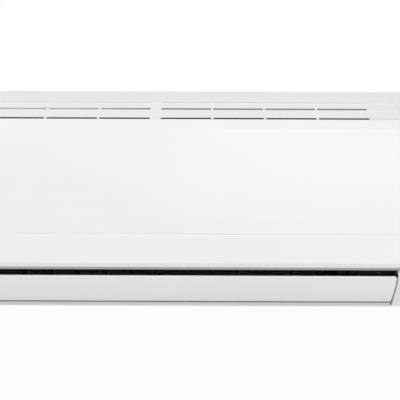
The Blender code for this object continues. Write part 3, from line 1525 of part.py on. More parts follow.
def build_control_box():
    """Open box for the electrical parts, with two lugs to the end wall, and its sheet cover."""
    (left, right), (back, front), (low, high) = CONTROL_X, CONTROL_DEPTH, CONTROL_HEIGHT
    box = block("control_box", (left, right), (back, front), (low, high))
    end_wall = LENGTH / 2 - 2 * WALL - END_WALL_INSET
    for number, height in enumerate((low + 0.020, high - 0.030)):
        fuse(box, block(f"control_lug_{number + 1}", (right - SHEET / 2, end_wall - GAP),
                        (back + 0.012, back + 0.022), (height, height + 0.010)))
    room = block("control_box_room", (left + SHEET, right - SHEET), (back + SHEET, front + BEYOND),
                 (low + SHEET, high - SHEET))
    finish(carve(box, room), "grey_plastic")
    cover = block("control_box_cover", (left, right), (front + GAP, front + GAP + SHEET), (low, high))
    finish(cover, "zinc_steel")


def build_control_board():
    """Circuit board on four posts with its tallest parts, and the transformer in front of it."""
    (left, right), (back, _), (low, high) = CONTROL_X, CONTROL_DEPTH, CONTROL_HEIGHT
    board_back = back + SHEET + BOARD_RISE
    span = (left + SHEET + GAP, right - SHEET - GAP)
    board = block("control_board", span, (board_back, board_back + BOARD),
                  (low + TERMINAL_ROOM, high - SHEET - GAP))
    post_span = (back + SHEET + GAP, board_back + 0.001)
    from_left, from_right, from_foot, from_top = BOARD_POST_MARGINS
    for x in (left + from_left, right - from_right):
        for height in (low + from_foot, high - from_top):
            name = f"board_post_{round(x * 1000)}_{round(height * 1000)}"
            fuse(board, disc_forward(name, (x, height), post_span, BOARD_POST_RADIUS))
    for number, (x, below, size) in enumerate(BOARD_PARTS):
        chip = block(f"board_part_{number + 1}", (left + x, left + x + size),
                     (board_back + 0.001, board_back + 0.010), (high - below, high - below + size))
        fuse(board, chip)
    finish(board, "board_green")
    start = board_back + BOARD + GAP
    (x, below), (width, depth, rise) = TRANSFORMER_PLACE, TRANSFORMER_SIZE
    finish(block("transformer", (left + x, left + x + width), (start, start + depth),
                 (high - below, high - below + rise)), "black_plastic")


def build_terminals():
    """Terminal block below the board, with one open chamber for each wire."""
    (left, right), (back, _), (low, _) = CONTROL_X, CONTROL_DEPTH, CONTROL_HEIGHT
    front = back + TERMINAL_DEPTH
    span = (left + TERMINAL_MARGIN, right - TERMINAL_MARGIN)
    terminal = block("terminal_block", span, (back + SHEET + GAP, front), (low + 0.008, low + 0.036))
    for number in range(TERMINAL_COUNT):
        x = left + TERMINAL_MARGIN + 0.004 + number * TERMINAL_PITCH
        slot = block(f"terminal_slot_{number + 1}", (x, x + 0.011), (front - 0.008, front + BEYOND),
                     (low + 0.012, low + 0.032))
        carve(terminal, slot)
    finish(terminal, "black_plastic")


def build_display():
    """Display board behind the fascia."""
    front = FASCIA_DEPTH - 0.0005 - WALL - 2 * GAP
    finish(block("display_board", DISPLAY_X, (front - BOARD, front), DISPLAY_HEIGHT), "board_green")


def build_button(carrier):
    """Emergency button: a stem through the front frame with a collar behind it."""
    back = FRAME_DEPTH - WALL - BUTTON_COLLAR_BACK
    place = (BUTTON_X, BUTTON_HEIGHT)
    stem_span = (back - 0.0004, FRAME_DEPTH + BUTTON_PROUD)
    stem = disc_forward("emergency_button", place, stem_span, BUTTON_RADIUS, 12)
    collar_span = (back, FRAME_DEPTH - WALL - GAP)
    collar = disc_forward("button_collar", place, collar_span, BUTTON_RADIUS + 0.0015, 12)
    hang(finish(fuse(stem, collar), "white_plastic"), carrier)


def main():
    """Builds the whole unit in its rest position: panel, flap and vanes shut or straight."""
    for old in list(bpy.data.objects):
        bpy.data.objects.remove(old)
    build_wall_plate()
    build_rear_chassis()
    build_front_casing()
    build_front_panel(axle("front_panel_hinge", at(0, *panel_axis())))
    build_drain_pan()
    for name, line in coil_lines().items():
        build_coil_slab(name, *line)
    build_coil_end("coil_end_left", -1)
    build_coil_end("coil_end_right", 1)
    build_coil_cap()
    build_pipes()
    for tag, side in (("left", -1), ("right", 1)):
        build_filter(f"filter_{tag}", side, axle(f"filter_{tag}_slide", at(0, FILTER_FRONT, FILTER_SILL)))
    fan_axle = axle("fan_axle", at(0, *FAN_AXIS))
    build_fan(fan_axle)
    build_fan_drive(fan_axle)
    flap_axle = axle("flap_axle", at(0, *FLAP_AXIS))
    build_flap(flap_axle)
    build_flap_drive(flap_axle)
    for tag, x in (("left", -BRACKET_X), ("middle", 0.0), ("right", BRACKET_X)):
        build_flap_bracket(f"flap_bracket_{tag}", x)
    build_vanes()
    build_control_box()
    build_control_board()
    build_terminals()
    build_display()
    build_button(axle("button_slide", at(BUTTON_X, FRAME_DEPTH, BUTTON_HEIGHT)))


main()
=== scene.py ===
"""Looks of a wall-mounted split air conditioner's indoor unit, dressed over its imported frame.

Axes: +X to the viewer's right along the unit, +Y into the wall, +Z up, metres throughout. Side
profiles are written as (depth, height): depth from the wall into the room, height over the unit's
underside.
"""

from __future__ import annotations

import json
import logging
import math
from dataclasses import dataclass, field
from enum import Enum, IntEnum
from typing import Iterator, Sequence

import bmesh
import bpy
from mathutils import Matrix, Vector

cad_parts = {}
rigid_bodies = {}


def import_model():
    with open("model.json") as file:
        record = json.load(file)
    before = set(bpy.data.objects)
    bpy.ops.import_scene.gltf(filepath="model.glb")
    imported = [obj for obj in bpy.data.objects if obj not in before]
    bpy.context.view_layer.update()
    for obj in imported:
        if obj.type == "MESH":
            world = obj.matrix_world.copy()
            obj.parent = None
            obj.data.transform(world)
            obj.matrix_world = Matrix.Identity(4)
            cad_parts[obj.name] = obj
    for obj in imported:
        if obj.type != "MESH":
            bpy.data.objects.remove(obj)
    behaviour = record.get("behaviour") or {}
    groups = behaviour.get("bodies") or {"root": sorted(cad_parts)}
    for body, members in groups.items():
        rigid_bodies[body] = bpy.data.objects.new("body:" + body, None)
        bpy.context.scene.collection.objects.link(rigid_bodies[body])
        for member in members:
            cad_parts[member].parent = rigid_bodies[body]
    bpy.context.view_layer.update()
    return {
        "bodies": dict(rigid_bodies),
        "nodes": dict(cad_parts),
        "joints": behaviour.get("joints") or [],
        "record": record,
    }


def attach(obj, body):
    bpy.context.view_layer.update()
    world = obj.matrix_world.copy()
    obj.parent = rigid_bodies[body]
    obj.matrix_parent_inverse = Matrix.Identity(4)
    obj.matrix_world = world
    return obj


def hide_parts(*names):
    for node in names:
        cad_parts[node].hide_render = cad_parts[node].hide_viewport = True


LOG = logging.getLogger("air_conditioner")

Colour = tuple[float, float, float]
Point = tuple[float, float]
Profile = list[Point]
Ray = tuple[Point, Point]

WHITE = (1.0, 1.0, 1.0, 1.0)
FLOOR_GREY = (0.86, 0.86, 0.86, 1.0)
UNDERSIDE_Z = -0.150
HEIGHT = 0.285
BEVEL_SEGMENTS = 2
BEVEL_ANGLE = 40.0
ROUNDING_SAMPLES = 4
COAT_ROUGHNESS = 0.12
UPRIGHT_FACE = 0.5
END_FACE = 0.8


def place(x: float, depth: float, height: float) -> Vector:
    """Point of the frame from a distance along the unit, a depth off the wall and a height.

    Args:
        x: Metres to the right of the unit's middle.
        depth: Metres from the wall into the room.
        height: Metres over the unit's underside.

    Returns:
        The point in the shared frame.
    """
    return Vector((x, -depth, height + UNDERSIDE_Z))


class Side(IntEnum):
    """Half of the unit, as someone who faces it sees it."""

    LEFT = -1
    BOTH = 0
    RIGHT = 1


def circle(sides: int) -> Iterator[float]:
    """Angles of a ring's corners, in radians."""
    return (math.tau * side / sides for side in range(sides))


# Shader arithmetic


class Wire:
    """Shader socket that takes part in ordinary arithmetic."""

    def __init__(self, graph: "Graph", socket: bpy.types.NodeSocket) -> None:
        """Wraps one output socket of a graph.

        Args:
            graph: Graph that owns the socket.
            socket: Output socket that carries the value.
        """
        self.graph = graph
        self.socket = socket

    def __add__(self, other: "Term") -> "Wire":
        """Sum of this value and another."""
        return self.graph.maths("ADD", self, other)

    def __radd__(self, other: "Term") -> "Wire":
        """Sum with this value on the right."""
        return self.graph.maths("ADD", other, self)

    def __sub__(self, other: "Term") -> "Wire":
        """This value less another."""
        return self.graph.maths("SUBTRACT", self, other)

    def __rsub__(self, other: "Term") -> "Wire":
        """Another value less this one."""
        return self.graph.maths("SUBTRACT", other, self)

    def __mul__(self, other: "Term") -> "Wire":
        """Product of this value and another."""
        return self.graph.maths("MULTIPLY", self, other)

    def __rmul__(self, other: "Term") -> "Wire":
        """Product with this value on the right."""
        return self.graph.maths("MULTIPLY", other, self)

    def __neg__(self) -> "Wire":
        """This value with its sign turned."""
        return self.graph.maths("MULTIPLY", self, -1.0)

    def __abs__(self) -> "Wire":
        """Size of this value."""
        return self.graph.maths("ABSOLUTE", self)

    def __gt__(self, limit: "Term") -> "Wire":
        """1 where this value is over the limit, 0 elsewhere."""
        return self.graph.maths("GREATER_THAN", self, limit)

    def __lt__(self, limit: "Term") -> "Wire":
        """1 where this value is under the limit, 0 elsewhere."""
        return self.graph.maths("LESS_THAN", self, limit)

    def repeat(self, length: float) -> "Wire":
        """Place within a repeat of the given length, from 0 to that length."""
        return self.graph.maths("FLOORED_MODULO", self, length)

    def within(self, low: float, high: float, soft: float) -> "Wire":
        """1 from low to high, 0 outside, with a soft edge of the given width at both ends."""
        rise = self.ramp(low - soft / 2, low + soft / 2)
        return rise * (1.0 - self.ramp(high - soft / 2, high + soft / 2))

    def ramp(self, low: float, high: float) -> "Wire":
        """Smooth rise from 0 at low to 1 at high."""
        span = {"Value": self, "From Min": low, "From Max": high}
        return self.graph.node("ShaderNodeMapRange", span, interpolation_type="SMOOTHSTEP")


Term = Wire | float
Inputs = dict[str | int, object]


class Graph:
    """Node tree of one material or of the world."""

    def __init__(self, name: str, owner: bpy.types.ID | None = None) -> None:
        """Starts an empty node tree.

        Args:
            name: Name of the material.
            owner: World that owns the tree, or nothing for a new material.
        """
        self.owner = owner or bpy.data.materials.new(name)
        self.owner.use_nodes = True
        self.tree = self.owner.node_tree
        self.tree.nodes.clear()
        self.spot = self.node("ShaderNodeTexCoord", {}, out="Object")

    def add(self, kind: str, inputs: Inputs, **settings: object) -> bpy.types.Node:
        """Adds a node and feeds its inputs.

        Args:
            kind: Blender's name of the node type.
            inputs: Values or wires by input name or place.
            **settings: Properties set on the node itself.

        Returns:
            The node.
        """
        made = self.tree.nodes.new(kind)
        for key, value in settings.items():
            setattr(made, key, value)
        for key, value in inputs.items():
            if isinstance(value, Wire):
                self.tree.links.new(value.socket, made.inputs[key])
            else:
                made.inputs[key].default_value = value
        return made

    def node(self, kind: str, inputs: Inputs, out: str | int = 0, **settings: object) -> Wire:
        """Adds a node and hands back one of its outputs."""
        return Wire(self, self.add(kind, inputs, **settings).outputs[out])

    def maths(self, operation: str, *terms: Term) -> Wire:
        """Math node over one to three terms."""
        return self.node("ShaderNodeMath", dict(enumerate(terms)), operation=operation)

    def axis(self, letter: str, spot: Wire | None = None) -> Wire:
        """One coordinate, in metres, of the surface point."""
        return self.node("ShaderNodeSeparateXYZ", {0: spot or self.spot}, out=letter)

    def depth(self) -> Wire:
        """Depth of the surface point off the wall."""
        return -self.axis("Y")

    def height(self) -> Wire:
        """Height of the surface point over the unit's underside."""
        return self.axis("Z") - UNDERSIDE_Z

    def facing(self, letter: str) -> Wire:
        """One part of the direction that the bare face points in."""
        return self.axis(letter, self.node("ShaderNodeNewGeometry", {}, out="True Normal"))

    def stretched(self, x: float, y: float, z: float) -> Wire:
        """Surface point with each coordinate scaled."""
        return self.node("ShaderNodeMapping", {"Vector": self.spot, "Scale": (x, y, z)})

    def noise(
        self, scale: float, detail: float = 2.0, rough: float = 0.5, spot: Wire | None = None
    ) -> Wire:
        """Fractal noise.

        Args:
            scale: Features per metre.
            detail: Number of finer layers.
            rough: Weight of each layer against the one before.
            spot: Surface point that is read, or nothing for the plain one.

        Returns:
            The noise, from 0 to 1.
        """
        inputs = {"Vector": spot or self.spot, "Scale": scale, "Detail": detail, "Roughness": rough}
        return self.node("ShaderNodeTexNoise", inputs)

    def cells(self, scale: float, out: str = "Distance") -> Wire:
        """Cellular pattern; scale is cells per metre."""
        return self.node("ShaderNodeTexVoronoi", {"Vector": self.spot, "Scale": scale}, out=out)

    def blend(self, factor: Term, low: object, high: object) -> Wire:
        """Colour between low and high."""
        inputs = {0: factor, 6: tint(low), 7: tint(high)}
        return self.node("ShaderNodeMix", inputs, out=2, data_type="RGBA")

    def relief(self, height: Wire, depth: float, rounding: float = 0.0) -> Wire:
        """Surface normal with relief over rounded edges.

        Args:
            height: Height of the relief at the surface point.
            depth: Metres of relief for a height of 1.
            rounding: Radius that edges appear to have.

        Returns:
            The normal.
        """
        inputs: Inputs = {"Height": height, "Distance": depth, "Strength": 1.0}
        if rounding:
            radius = {"Radius": rounding}
            inputs["Normal"] = self.node("ShaderNodeBevel", radius, samples=ROUNDING_SAMPLES)
        return self.node("ShaderNodeBump", inputs)

    def surface(self, inputs: Inputs) -> bpy.types.Material:
        """Ends the graph in one principled surface."""
        return self.end(self.node("ShaderNodeBsdfPrincipled", inputs))

    def backdrop(self) -> Wire:
        """Tells rays that show the surroundings from those that only carry their light.

        Returns:
            1 for rays that show the surroundings themselves, 0 for the others.
        """
        camera, glossy, through = (
            self.node("ShaderNodeLightPath", {}, out=f"Is {kind} Ray")
            for kind in ("Camera", "Glossy", "Transmission")
        )
        return self.maths("MAXIMUM", self.maths("MAXIMUM", camera, glossy), through)

    def end(self, shader: Wire) -> bpy.types.ID:
        """Joins a shader to the output of the material or world.

        Args:
            shader: Finished shader.

        Returns:
            The material or world that owns the graph.
        """
        kind = "World" if isinstance(self.owner, bpy.types.World) else "Material"
        self.add(f"ShaderNodeOutput{kind}", {"Surface": shader})
        return self.owner


def tint(value: object) -> object:
    """A colour with its alpha, or a wire left as it is."""
    return (*value, 1.0) if isinstance(value, tuple) and len(value) == 3 else value


# Finishes


@dataclass(frozen=True)
class Finish:
    """Common part of every finish.

    Attributes:
        name: Name of the material.
        colour: Linear base colour.
        roughness: Mean roughness.
    """

    name: str
    colour: Colour
    roughness: float

    def shade(self, factor: float) -> Colour:
        """Base colour made lighter or darker by a factor."""
        return tuple(min(1.0, part * factor) for part in self.colour)

    def build(self) -> bpy.types.Material:
        """Makes the material."""
        raise NotImplementedError


@dataclass(frozen=True)
class PaintedLightOrLine:
    """Stretch of a moulding whose tone departs from the rest: painted shade where light falls less,
    such as on the wall of a slot, painted highlight where it falls more, and the scored lines of
    the knock-outs.

    Attributes:
        depth: Depths off the wall between which it lies.
        height: Heights between which it lies.
        factor: Its tone as a share of the moulding's own.
        along: Distances from the unit's middle between which it lies, or nothing for all of it.
        soft: Width of its soft edges in the side view.
        blur: Width of its soft ends along the unit.
        upright: Whether only faces that stand upright belong to it.
        side: Half of the unit that it is kept to.
        ends: Whether faces that look along the unit belong to it.
    """

    depth: tuple[float, float]
    height: tuple[float, float]
    factor: float
    along: tuple[float, float] | None = None
    soft: float = 0.0008
    blur: float = 0.0004
    upright: bool = False
    side: Side = Side.BOTH
    ends: bool = True

    def mask(self, graph: Graph) -> Wire:
        """Tells the stretch from the rest of the moulding.

        Args:
            graph: Graph of the moulding's material.

        Returns:
            1 inside the stretch, 0 outside.
        """
        off_wall = graph.depth().within(*self.depth, self.soft)
        mask = off_wall * graph.height().within(*self.height, self.soft)
        if self.along:
            run = graph.axis("X")
            run = run * float(self.side) if self.side else abs(run)
            mask = mask * run.within(*self.along, self.blur)
        if not self.ends:
            mask = mask * (abs(graph.facing("X")) < END_FACE)
        return mask * (abs(graph.facing("Z")) < UPRIGHT_FACE) if self.upright else mask


@dataclass(frozen=True)
class Moulded(Finish):
    """Injection-moulded plastic with a fine eroded grain.

    Attributes:
        grain: Grains of the texture per metre.
        relief: Depth of the grain in metres.
        rounding: Radius that edges appear to have.
        coat: Weight of the smooth top layer.
        drift: Share by which the colour wanders over the moulding.
        painted_light_or_lines: Stretches of painted shade, painted highlight and scored lines, each
            of another tone.
        bending: Index of refraction.
        grain_gloss: Roughness that the grain adds at most.
        flow_gloss: Roughness that the flow streaks add at most.
    """

    grain: float = 1600.0
    relief: float = 0.00002
    rounding: float = 0.0006
    coat: float = 0.0
    drift: float = 0.012
    painted_light_or_lines: tuple[PaintedLightOrLine, ...] = ()
    bending: float = 1.49
    grain_gloss: float = 0.10
    flow_gloss: float = 0.05

    def build(self) -> bpy.types.Material:
        """Makes the material: slow colour drift, flow streaks along the unit, eroded grain, and the
        painted shade, painted highlights and scored lines of its stretches.

        Returns:
            The material.
        """
        graph = Graph(self.name)
        drift = graph.noise(7.0, detail=3.0, rough=0.55)
        flow = graph.noise(30.0, spot=graph.stretched(0.15, 1.0, 1.0))
        grain = graph.noise(self.grain, rough=0.6)
        mix = (0.7 * drift + 0.3 * flow).ramp(0.25, 0.75)
        colour = graph.blend(mix, self.shade(1.0 - self.drift), self.shade(1.0 + self.drift))
        # Painted shade, painted highlights and the knock-outs' scored lines, laid over the colour
        # stretch by stretch
        for painted_light_or_line in self.painted_light_or_lines:
            colour = graph.blend(painted_light_or_line.mask(graph), colour, self.shade(painted_light_or_line.factor))
        uneven = self.roughness + self.grain_gloss * (grain - 0.5)
        return graph.surface({
            "Base Color": colour,
            "Roughness": uneven + self.flow_gloss * (flow - 0.5),
            "IOR": self.bending,
            "Coat Weight": self.coat,
            "Coat Roughness": COAT_ROUGHNESS,
            "Normal": graph.relief(grain, self.relief, self.rounding),
        })


@dataclass(frozen=True)
class Sheet(Finish):
    """Zinc-coated or rolled sheet metal.

    Attributes:
        spangle: Zinc crystals per metre; 0 leaves a plain rolled sheet.
        beads: Pressed beads, each as its height and its inner and outer distance from the middle.
        bead_half: Half the height of a bead's flat.
        bead_edge: Width of a bead's slope.
        bead_end: Length over which a bead runs out at its ends.
        bead_rise: How far a bead stands off the sheet.
        rounding: Radius that edges appear to have.
    """

    spangle: float = 140.0
    beads: tuple[tuple[float, float, float], ...] = ()
    bead_half: float = 0.0030
    bead_edge: float = 0.0035
    bead_end: float = 0.006
    bead_rise: float = 0.0012
    rounding: float = 0.0004

    def build(self) -> bpy.types.Material:
        """Makes the material: crystals of slightly different tone over a rolling grain.

        Returns:
            The material.
        """
        graph = Graph(self.name)
        rolled = graph.noise(60.0, detail=3.0, rough=0.6, spot=graph.stretched(0.08, 1.0, 3.0))
        tone = rolled
        if self.spangle:
            crystals = graph.cells(self.spangle, out="Color")
            tone = 0.45 * rolled + 0.55 * graph.axis("X", crystals)
        height = 0.00002 * rolled
        for level, inner, outer in self.beads:
            foot, head = level - self.bead_half, level + self.bead_half
            across = graph.height().within(foot, head, self.bead_edge)
            along = abs(graph.axis("X")).within(inner, outer, self.bead_end)
            height = height + self.bead_rise * across * along
        return graph.surface({
            "Base Color": graph.blend(tone, self.shade(0.82), self.shade(1.12)),
            "Roughness": self.roughness + 0.16 * (tone - 0.5),
            "Metallic": 1.0,
            "Normal": graph.relief(height, 1.0, self.rounding),
        })


@dataclass(frozen=True)
class Drawn(Finish):
    """Drawn or turned bare metal with a thin tarnish.

    Attributes:
        tarnish: Colour of the tarnished places.
        marks: Drawing marks per metre across the metal.
        score: Depth of the drawing marks.
    """

    tarnish: Colour = (0.30, 0.14, 0.08)
    marks: float = 900.0
    score: float = 0.00001

    def build(self) -> bpy.types.Material:
        """Makes the material: cloudy tarnish and fine drawing marks along the unit.

        Returns:
            The material.
        """
        graph = Graph(self.name)
        cloud = graph.noise(55.0, detail=4.0, rough=0.6).ramp(0.42, 0.72)
        marks = graph.noise(self.marks, spot=graph.stretched(0.02, 1.0, 1.0))
        return graph.surface({
            "Base Color": graph.blend(0.55 * cloud, self.colour, self.tarnish),
            "Roughness": self.roughness + 0.22 * cloud + 0.06 * (marks - 0.5),
            "Metallic": 1.0 - 0.15 * cloud,
            "Normal": graph.relief(marks, self.score),
        })


@dataclass(frozen=True)
class Board(Finish):
    """Circuit board under a green solder mask.

    Attributes:
        track: Distance from upright track to upright track, and the width of one.
        rung: Distance from level track to level track, and the width of one.
        pads: Cells of the pattern of pads per metre, and a pad's radius as a share of a cell.
        solder: Colour of the pads.
        rise: How far the tracks stand off the board.
    """

    track: tuple[float, float] = (0.0025, 0.0009)
    rung: tuple[float, float] = (0.0040, 0.0011)
    pads: tuple[float, float] = (160.0, 0.12)
    solder: Colour = (0.62, 0.60, 0.54)
    rise: float = 0.00003

    def build(self) -> bpy.types.Material:
        """Makes the material: copper tracks and pads seen through the mask.

        Returns:
            The material.
        """
        graph = Graph(self.name)
        track_pitch, track_width = self.track
        rung_pitch, rung_width = self.rung
        pad_pitch, pad_radius = self.pads
        patch = graph.noise(70.0, detail=1.0, rough=0.4) > 0.52
        tracks = (graph.axis("X").repeat(track_pitch) < track_width) * patch
        rungs = (graph.axis("Z").repeat(rung_pitch) < rung_width) * (1.0 - patch)
        pads = graph.cells(pad_pitch) < pad_radius
        copper = graph.maths("MAXIMUM", tracks, rungs)
        masked = graph.blend(copper, self.colour, self.shade(1.9))
        return graph.surface({
            "Base Color": graph.blend(pads, masked, self.solder),
            "Roughness": self.roughness + 0.10 * copper,
            "Metallic": 0.9 * pads,
            "Normal": graph.relief(copper, self.rise),
        })


@dataclass(frozen=True)
class Netting(Finish):
    """Fine strands of a dust filter, with a little dust on them.

    Attributes:
        dust: Colour of the dust.
        fibre: Fibres per metre.
        relief: Depth of the fibres.
    """

    dust: Colour = (0.20, 0.19, 0.18)
    fibre: float = 2600.0
    relief: float = 0.00002

    def build(self) -> bpy.types.Material:
        """Makes the material: strands that are paler where dust has settled.

        Returns:
            The material.
        """
        graph = Graph(self.name)
        dust = graph.noise(22.0, detail=4.0, rough=0.65).ramp(0.45, 0.75)
        return graph.surface({
            "Base Color": graph.blend(0.3 * dust, self.colour, self.dust),
            "Roughness": self.roughness + 0.2 * dust,
            "Normal": graph.relief(graph.noise(self.fibre, rough=0.6), self.relief),
        })


# Painted shade and painted highlights of the white mouldings, and the knock-outs' scored lines,
# each in the stretch that it belongs to

GRILLE_RUN = (-0.010, 0.3215)
GRILLE_END_RUN = (0.285, 0.3215)
UNIT_END_RUN = (0.285, 0.500)
LEFT_FADE_RUN = (0.060, 0.400)
DUCT_RUN = (-0.010, 0.3278)
CHEEK_RUN = (0.3283, 0.5000)
CHEEK_WALL_RUN = (0.3260, 0.3283)
CHEEK_EDGE_RUN = (0.3283, 0.3298)
CROWN_TOP = (0.2800, 0.2880)
CHEEK_DEPTH = (0.1300, 0.1850)
LIP_DEPTH = (0.1395, 0.1450)
FRONT_ROW = ((0.1690, 0.1720), (0.2620, 0.2715))
SECOND_ROW = ((0.1420, 0.1600), (0.2620, 0.2810))
THIRD_ROW = ((0.1135, 0.1175), (0.2620, 0.2850))
SCORE_HALF = 0.0004
SCORE_TONE = 0.55
SCORE_SOFT = 0.0003
OUTER_SIDE_RUN = (0.3930, 0.4000)


def outline(depth: tuple[float, float], height: tuple[float, float]) -> tuple[PaintedLightOrLine, ...]:
    """Scored outline of a knock-out in the casing's two ends.

    Args:
        depth: Depths of the knock-out's back and front edge.
        height: Heights of its foot and head.

    Returns:
        One recess for each of the four scored lines.
    """
    def line(low: tuple[float, float], high: tuple[float, float]) -> PaintedLightOrLine:
        """One scored line between two corners, each as its depth and height."""
        spans = ((start - SCORE_HALF, stop + SCORE_HALF) for start, stop in zip(low, high))
        return PaintedLightOrLine(*spans, SCORE_TONE, OUTER_SIDE_RUN, soft=SCORE_SOFT)

    (back, front), (foot, head) = depth, height
    return (
        line((back, foot), (back, head)), line((front, foot), (front, head)),
        line((back, foot), (front, foot)), line((back, head), (front, head)),
    )


CASING_PAINTED_LIGHT_AND_LINES = (
    # Painted shade on the lands of the crown between the rows of slots, and on the crown toward the
    # unit's ends
    PaintedLightOrLine((-0.010, 0.1225), CROWN_TOP, 0.945, GRILLE_RUN),
    PaintedLightOrLine((0.1225, 0.1700), (0.2660, 0.2880), 0.970, GRILLE_RUN),
    PaintedLightOrLine(
        (-0.010, 0.1790), (0.2600, 0.2880), 0.930, UNIT_END_RUN, soft=0.002, blur=0.070, ends=False
    ),
    # Painted highlights along edges of the lands, and at the second row's outer end
    PaintedLightOrLine((0.0735, 0.0815), CROWN_TOP, 1.010, GRILLE_RUN, soft=0.002),
    PaintedLightOrLine((0.1034, 0.1096), CROWN_TOP, 1.010, GRILLE_RUN, soft=0.002),
    PaintedLightOrLine((0.1230, 0.1285), CROWN_TOP, 1.030, GRILLE_RUN, soft=0.001),
    PaintedLightOrLine((0.1500, 0.1535), (0.2750, 0.2820), 1.030, GRILLE_END_RUN, soft=0.001, blur=0.004),
    # Painted shade on the walls of the two front rows of slots, paler toward the second row's left
    # end, and a painted highlight on the third row's wall
    PaintedLightOrLine(*FRONT_ROW, 0.020, GRILLE_RUN, upright=True),
    PaintedLightOrLine(*SECOND_ROW, 0.330, GRILLE_RUN, upright=True),
    PaintedLightOrLine(
        *SECOND_ROW, 0.780, LEFT_FADE_RUN, blur=0.140, upright=True, side=Side.LEFT, ends=False
    ),
    PaintedLightOrLine(*THIRD_ROW, 1.130, GRILLE_RUN, upright=True),
    # Painted shade under the roll of the edge over the outlet, and a painted highlight on the edge
    # at the top of the fascia
    PaintedLightOrLine((0.1760, 0.1900), (0.0600, 0.0698), 0.440, soft=0.0006, ends=False),
    PaintedLightOrLine((0.1900, 0.1958), (0.1174, 0.1190), 1.110, soft=0.0002),
    # Painted shade on the wall of the cheek beside the flap's end, on its face, and on the edge
    # between them
    PaintedLightOrLine(CHEEK_DEPTH, (-0.010, 0.0600), 0.160, CHEEK_WALL_RUN, blur=0.0002, upright=True),
    PaintedLightOrLine(CHEEK_DEPTH, (-0.010, 0.0640), 0.900, CHEEK_RUN, soft=0.004, blur=0.0002, ends=False),
    PaintedLightOrLine(CHEEK_DEPTH, (0.0020, 0.0500), 0.280, CHEEK_EDGE_RUN, soft=0.008, blur=0.0003),
    # Knock-outs for the pipes
    *outline((0.012, 0.066), (0.012, 0.064)),
)
CHASSIS_PAINTED_SHADE = (
    # Painted shade in the air duct, and deep painted shade in its mouth behind the flap
    PaintedLightOrLine((0.0500, 0.1408), (0.0063, 0.0680), 0.400, DUCT_RUN, soft=0.0004),
    PaintedLightOrLine((0.1250, 0.1850), (0.0200, 0.0680), 0.016, DUCT_RUN, soft=0.0004),
    # Painted shade on the lip under the flap, and a darker painted line of shade along it
    PaintedLightOrLine(LIP_DEPTH, (-0.010, 0.0066), 0.760, DUCT_RUN, soft=0.0004),
    PaintedLightOrLine(LIP_DEPTH, (0.0025, 0.0046), 0.680, DUCT_RUN),
)
PANEL_PAINTED_HIGHLIGHT = (
    # Painted highlight on the edge at the panel's foot
    PaintedLightOrLine((0.190, 0.1962), (0.1180, 0.1197), 1.13, soft=0.0002),
)
FLAP_PAINTED_SHADE_AND_HIGHLIGHT = (
    # Painted shade on the foot of the flap, which turns away from the light, and a painted
    # highlight on its crest
    PaintedLightOrLine((0.0, 0.300), (-0.020, 0.0180), 0.925, soft=0.030),
    PaintedLightOrLine((0.1760, 0.1840), (0.0545, 0.0600), 1.080, soft=0.0010),
)
PLATE_BEADS = (
    (0.2080, -0.01, 0.300), (0.0980, -0.01, 0.270), (0.1620, -0.01, 0.128), (0.0740, -0.01, 0.200),
)
CASING_COLOUR = (0.875, 0.878, 0.875)
ZINC_COLOUR = (0.60, 0.61, 0.60)


class Look(Enum):
    """Every finish on the unit."""

    CASING = Moulded("casing_white", CASING_COLOUR, 0.42, painted_light_or_lines=CASING_PAINTED_LIGHT_AND_LINES)
    PANEL = Moulded(
        "panel_white", (0.878, 0.882, 0.880), 0.30,
        grain=2200.0, relief=0.000008, coat=0.35, painted_light_or_lines=PANEL_PAINTED_HIGHLIGHT,
    )
    CHASSIS = Moulded("chassis_white", CASING_COLOUR, 0.45, painted_light_or_lines=CHASSIS_PAINTED_SHADE)
    # The flap's white is set darker than the casing's as painted shade, since the flap faces down
    # away from the light
    FLAP = Moulded("flap_white_painted_shade", (0.835, 0.838, 0.836), 0.38, painted_light_or_lines=FLAP_PAINTED_SHADE_AND_HIGHLIGHT)
    GREY = Moulded("inner_grey", (0.16, 0.165, 0.17), 0.50)
    VANE = Moulded("vane_black", (0.028, 0.029, 0.030), 0.55)
    HINGE = Moulded("hinge_black", (0.006, 0.006, 0.006), 0.80, bending=1.25)
    PAN = Moulded("pan_grey", (0.52, 0.53, 0.52), 0.55)
    FAN = Moulded("fan_black", (0.025, 0.026, 0.028), 0.42)
    FRAME = Moulded("filter_black", (0.045, 0.048, 0.052), 0.45)
    RESIN = Moulded("black_resin", (0.02, 0.02, 0.02), 0.45)
    RUBBER = Moulded("rubber_black", (0.022, 0.022, 0.022), 0.75, grain=700.0, relief=0.00004)
    ZINC = Sheet("zinc_sheet", ZINC_COLOUR, 0.38)
    FINS = Sheet("fin_sheet", (0.72, 0.73, 0.74), 0.42, spangle=0.0)
    COPPER = Drawn("copper_tube", (0.72, 0.36, 0.22), 0.26)
    BRASS = Drawn("brass_bar", (0.72, 0.54, 0.26), 0.28, tarnish=(0.42, 0.28, 0.10))
    BOARD = Board("board_green", (0.02, 0.10, 0.045), 0.35)
    NET = Netting("filter_net", (0.020, 0.022, 0.025), 0.6)
    PLATE = Sheet("plate_zinc", ZINC_COLOUR, 0.38, beads=PLATE_BEADS)
    FOAM = Moulded(
        "foam_grey", (0.060, 0.062, 0.065), 0.92,
        grain=420.0, relief=0.00025, drift=0.10, bending=1.3,
    )
    TAPE = Moulded("tape_white", (0.74, 0.74, 0.72), 0.50, grain=900.0, relief=0.00003)
    LATCH = Moulded("latch_grey", (0.300, 0.304, 0.306), 0.45)
    STEEL = Sheet("screw_steel", (0.55, 0.55, 0.56), 0.30, spangle=0.0)

    @property
    def material(self) -> bpy.types.Material:
        """The look's material, made on first use."""
        return bpy.data.materials.get(self.value.name) or self.value.build()


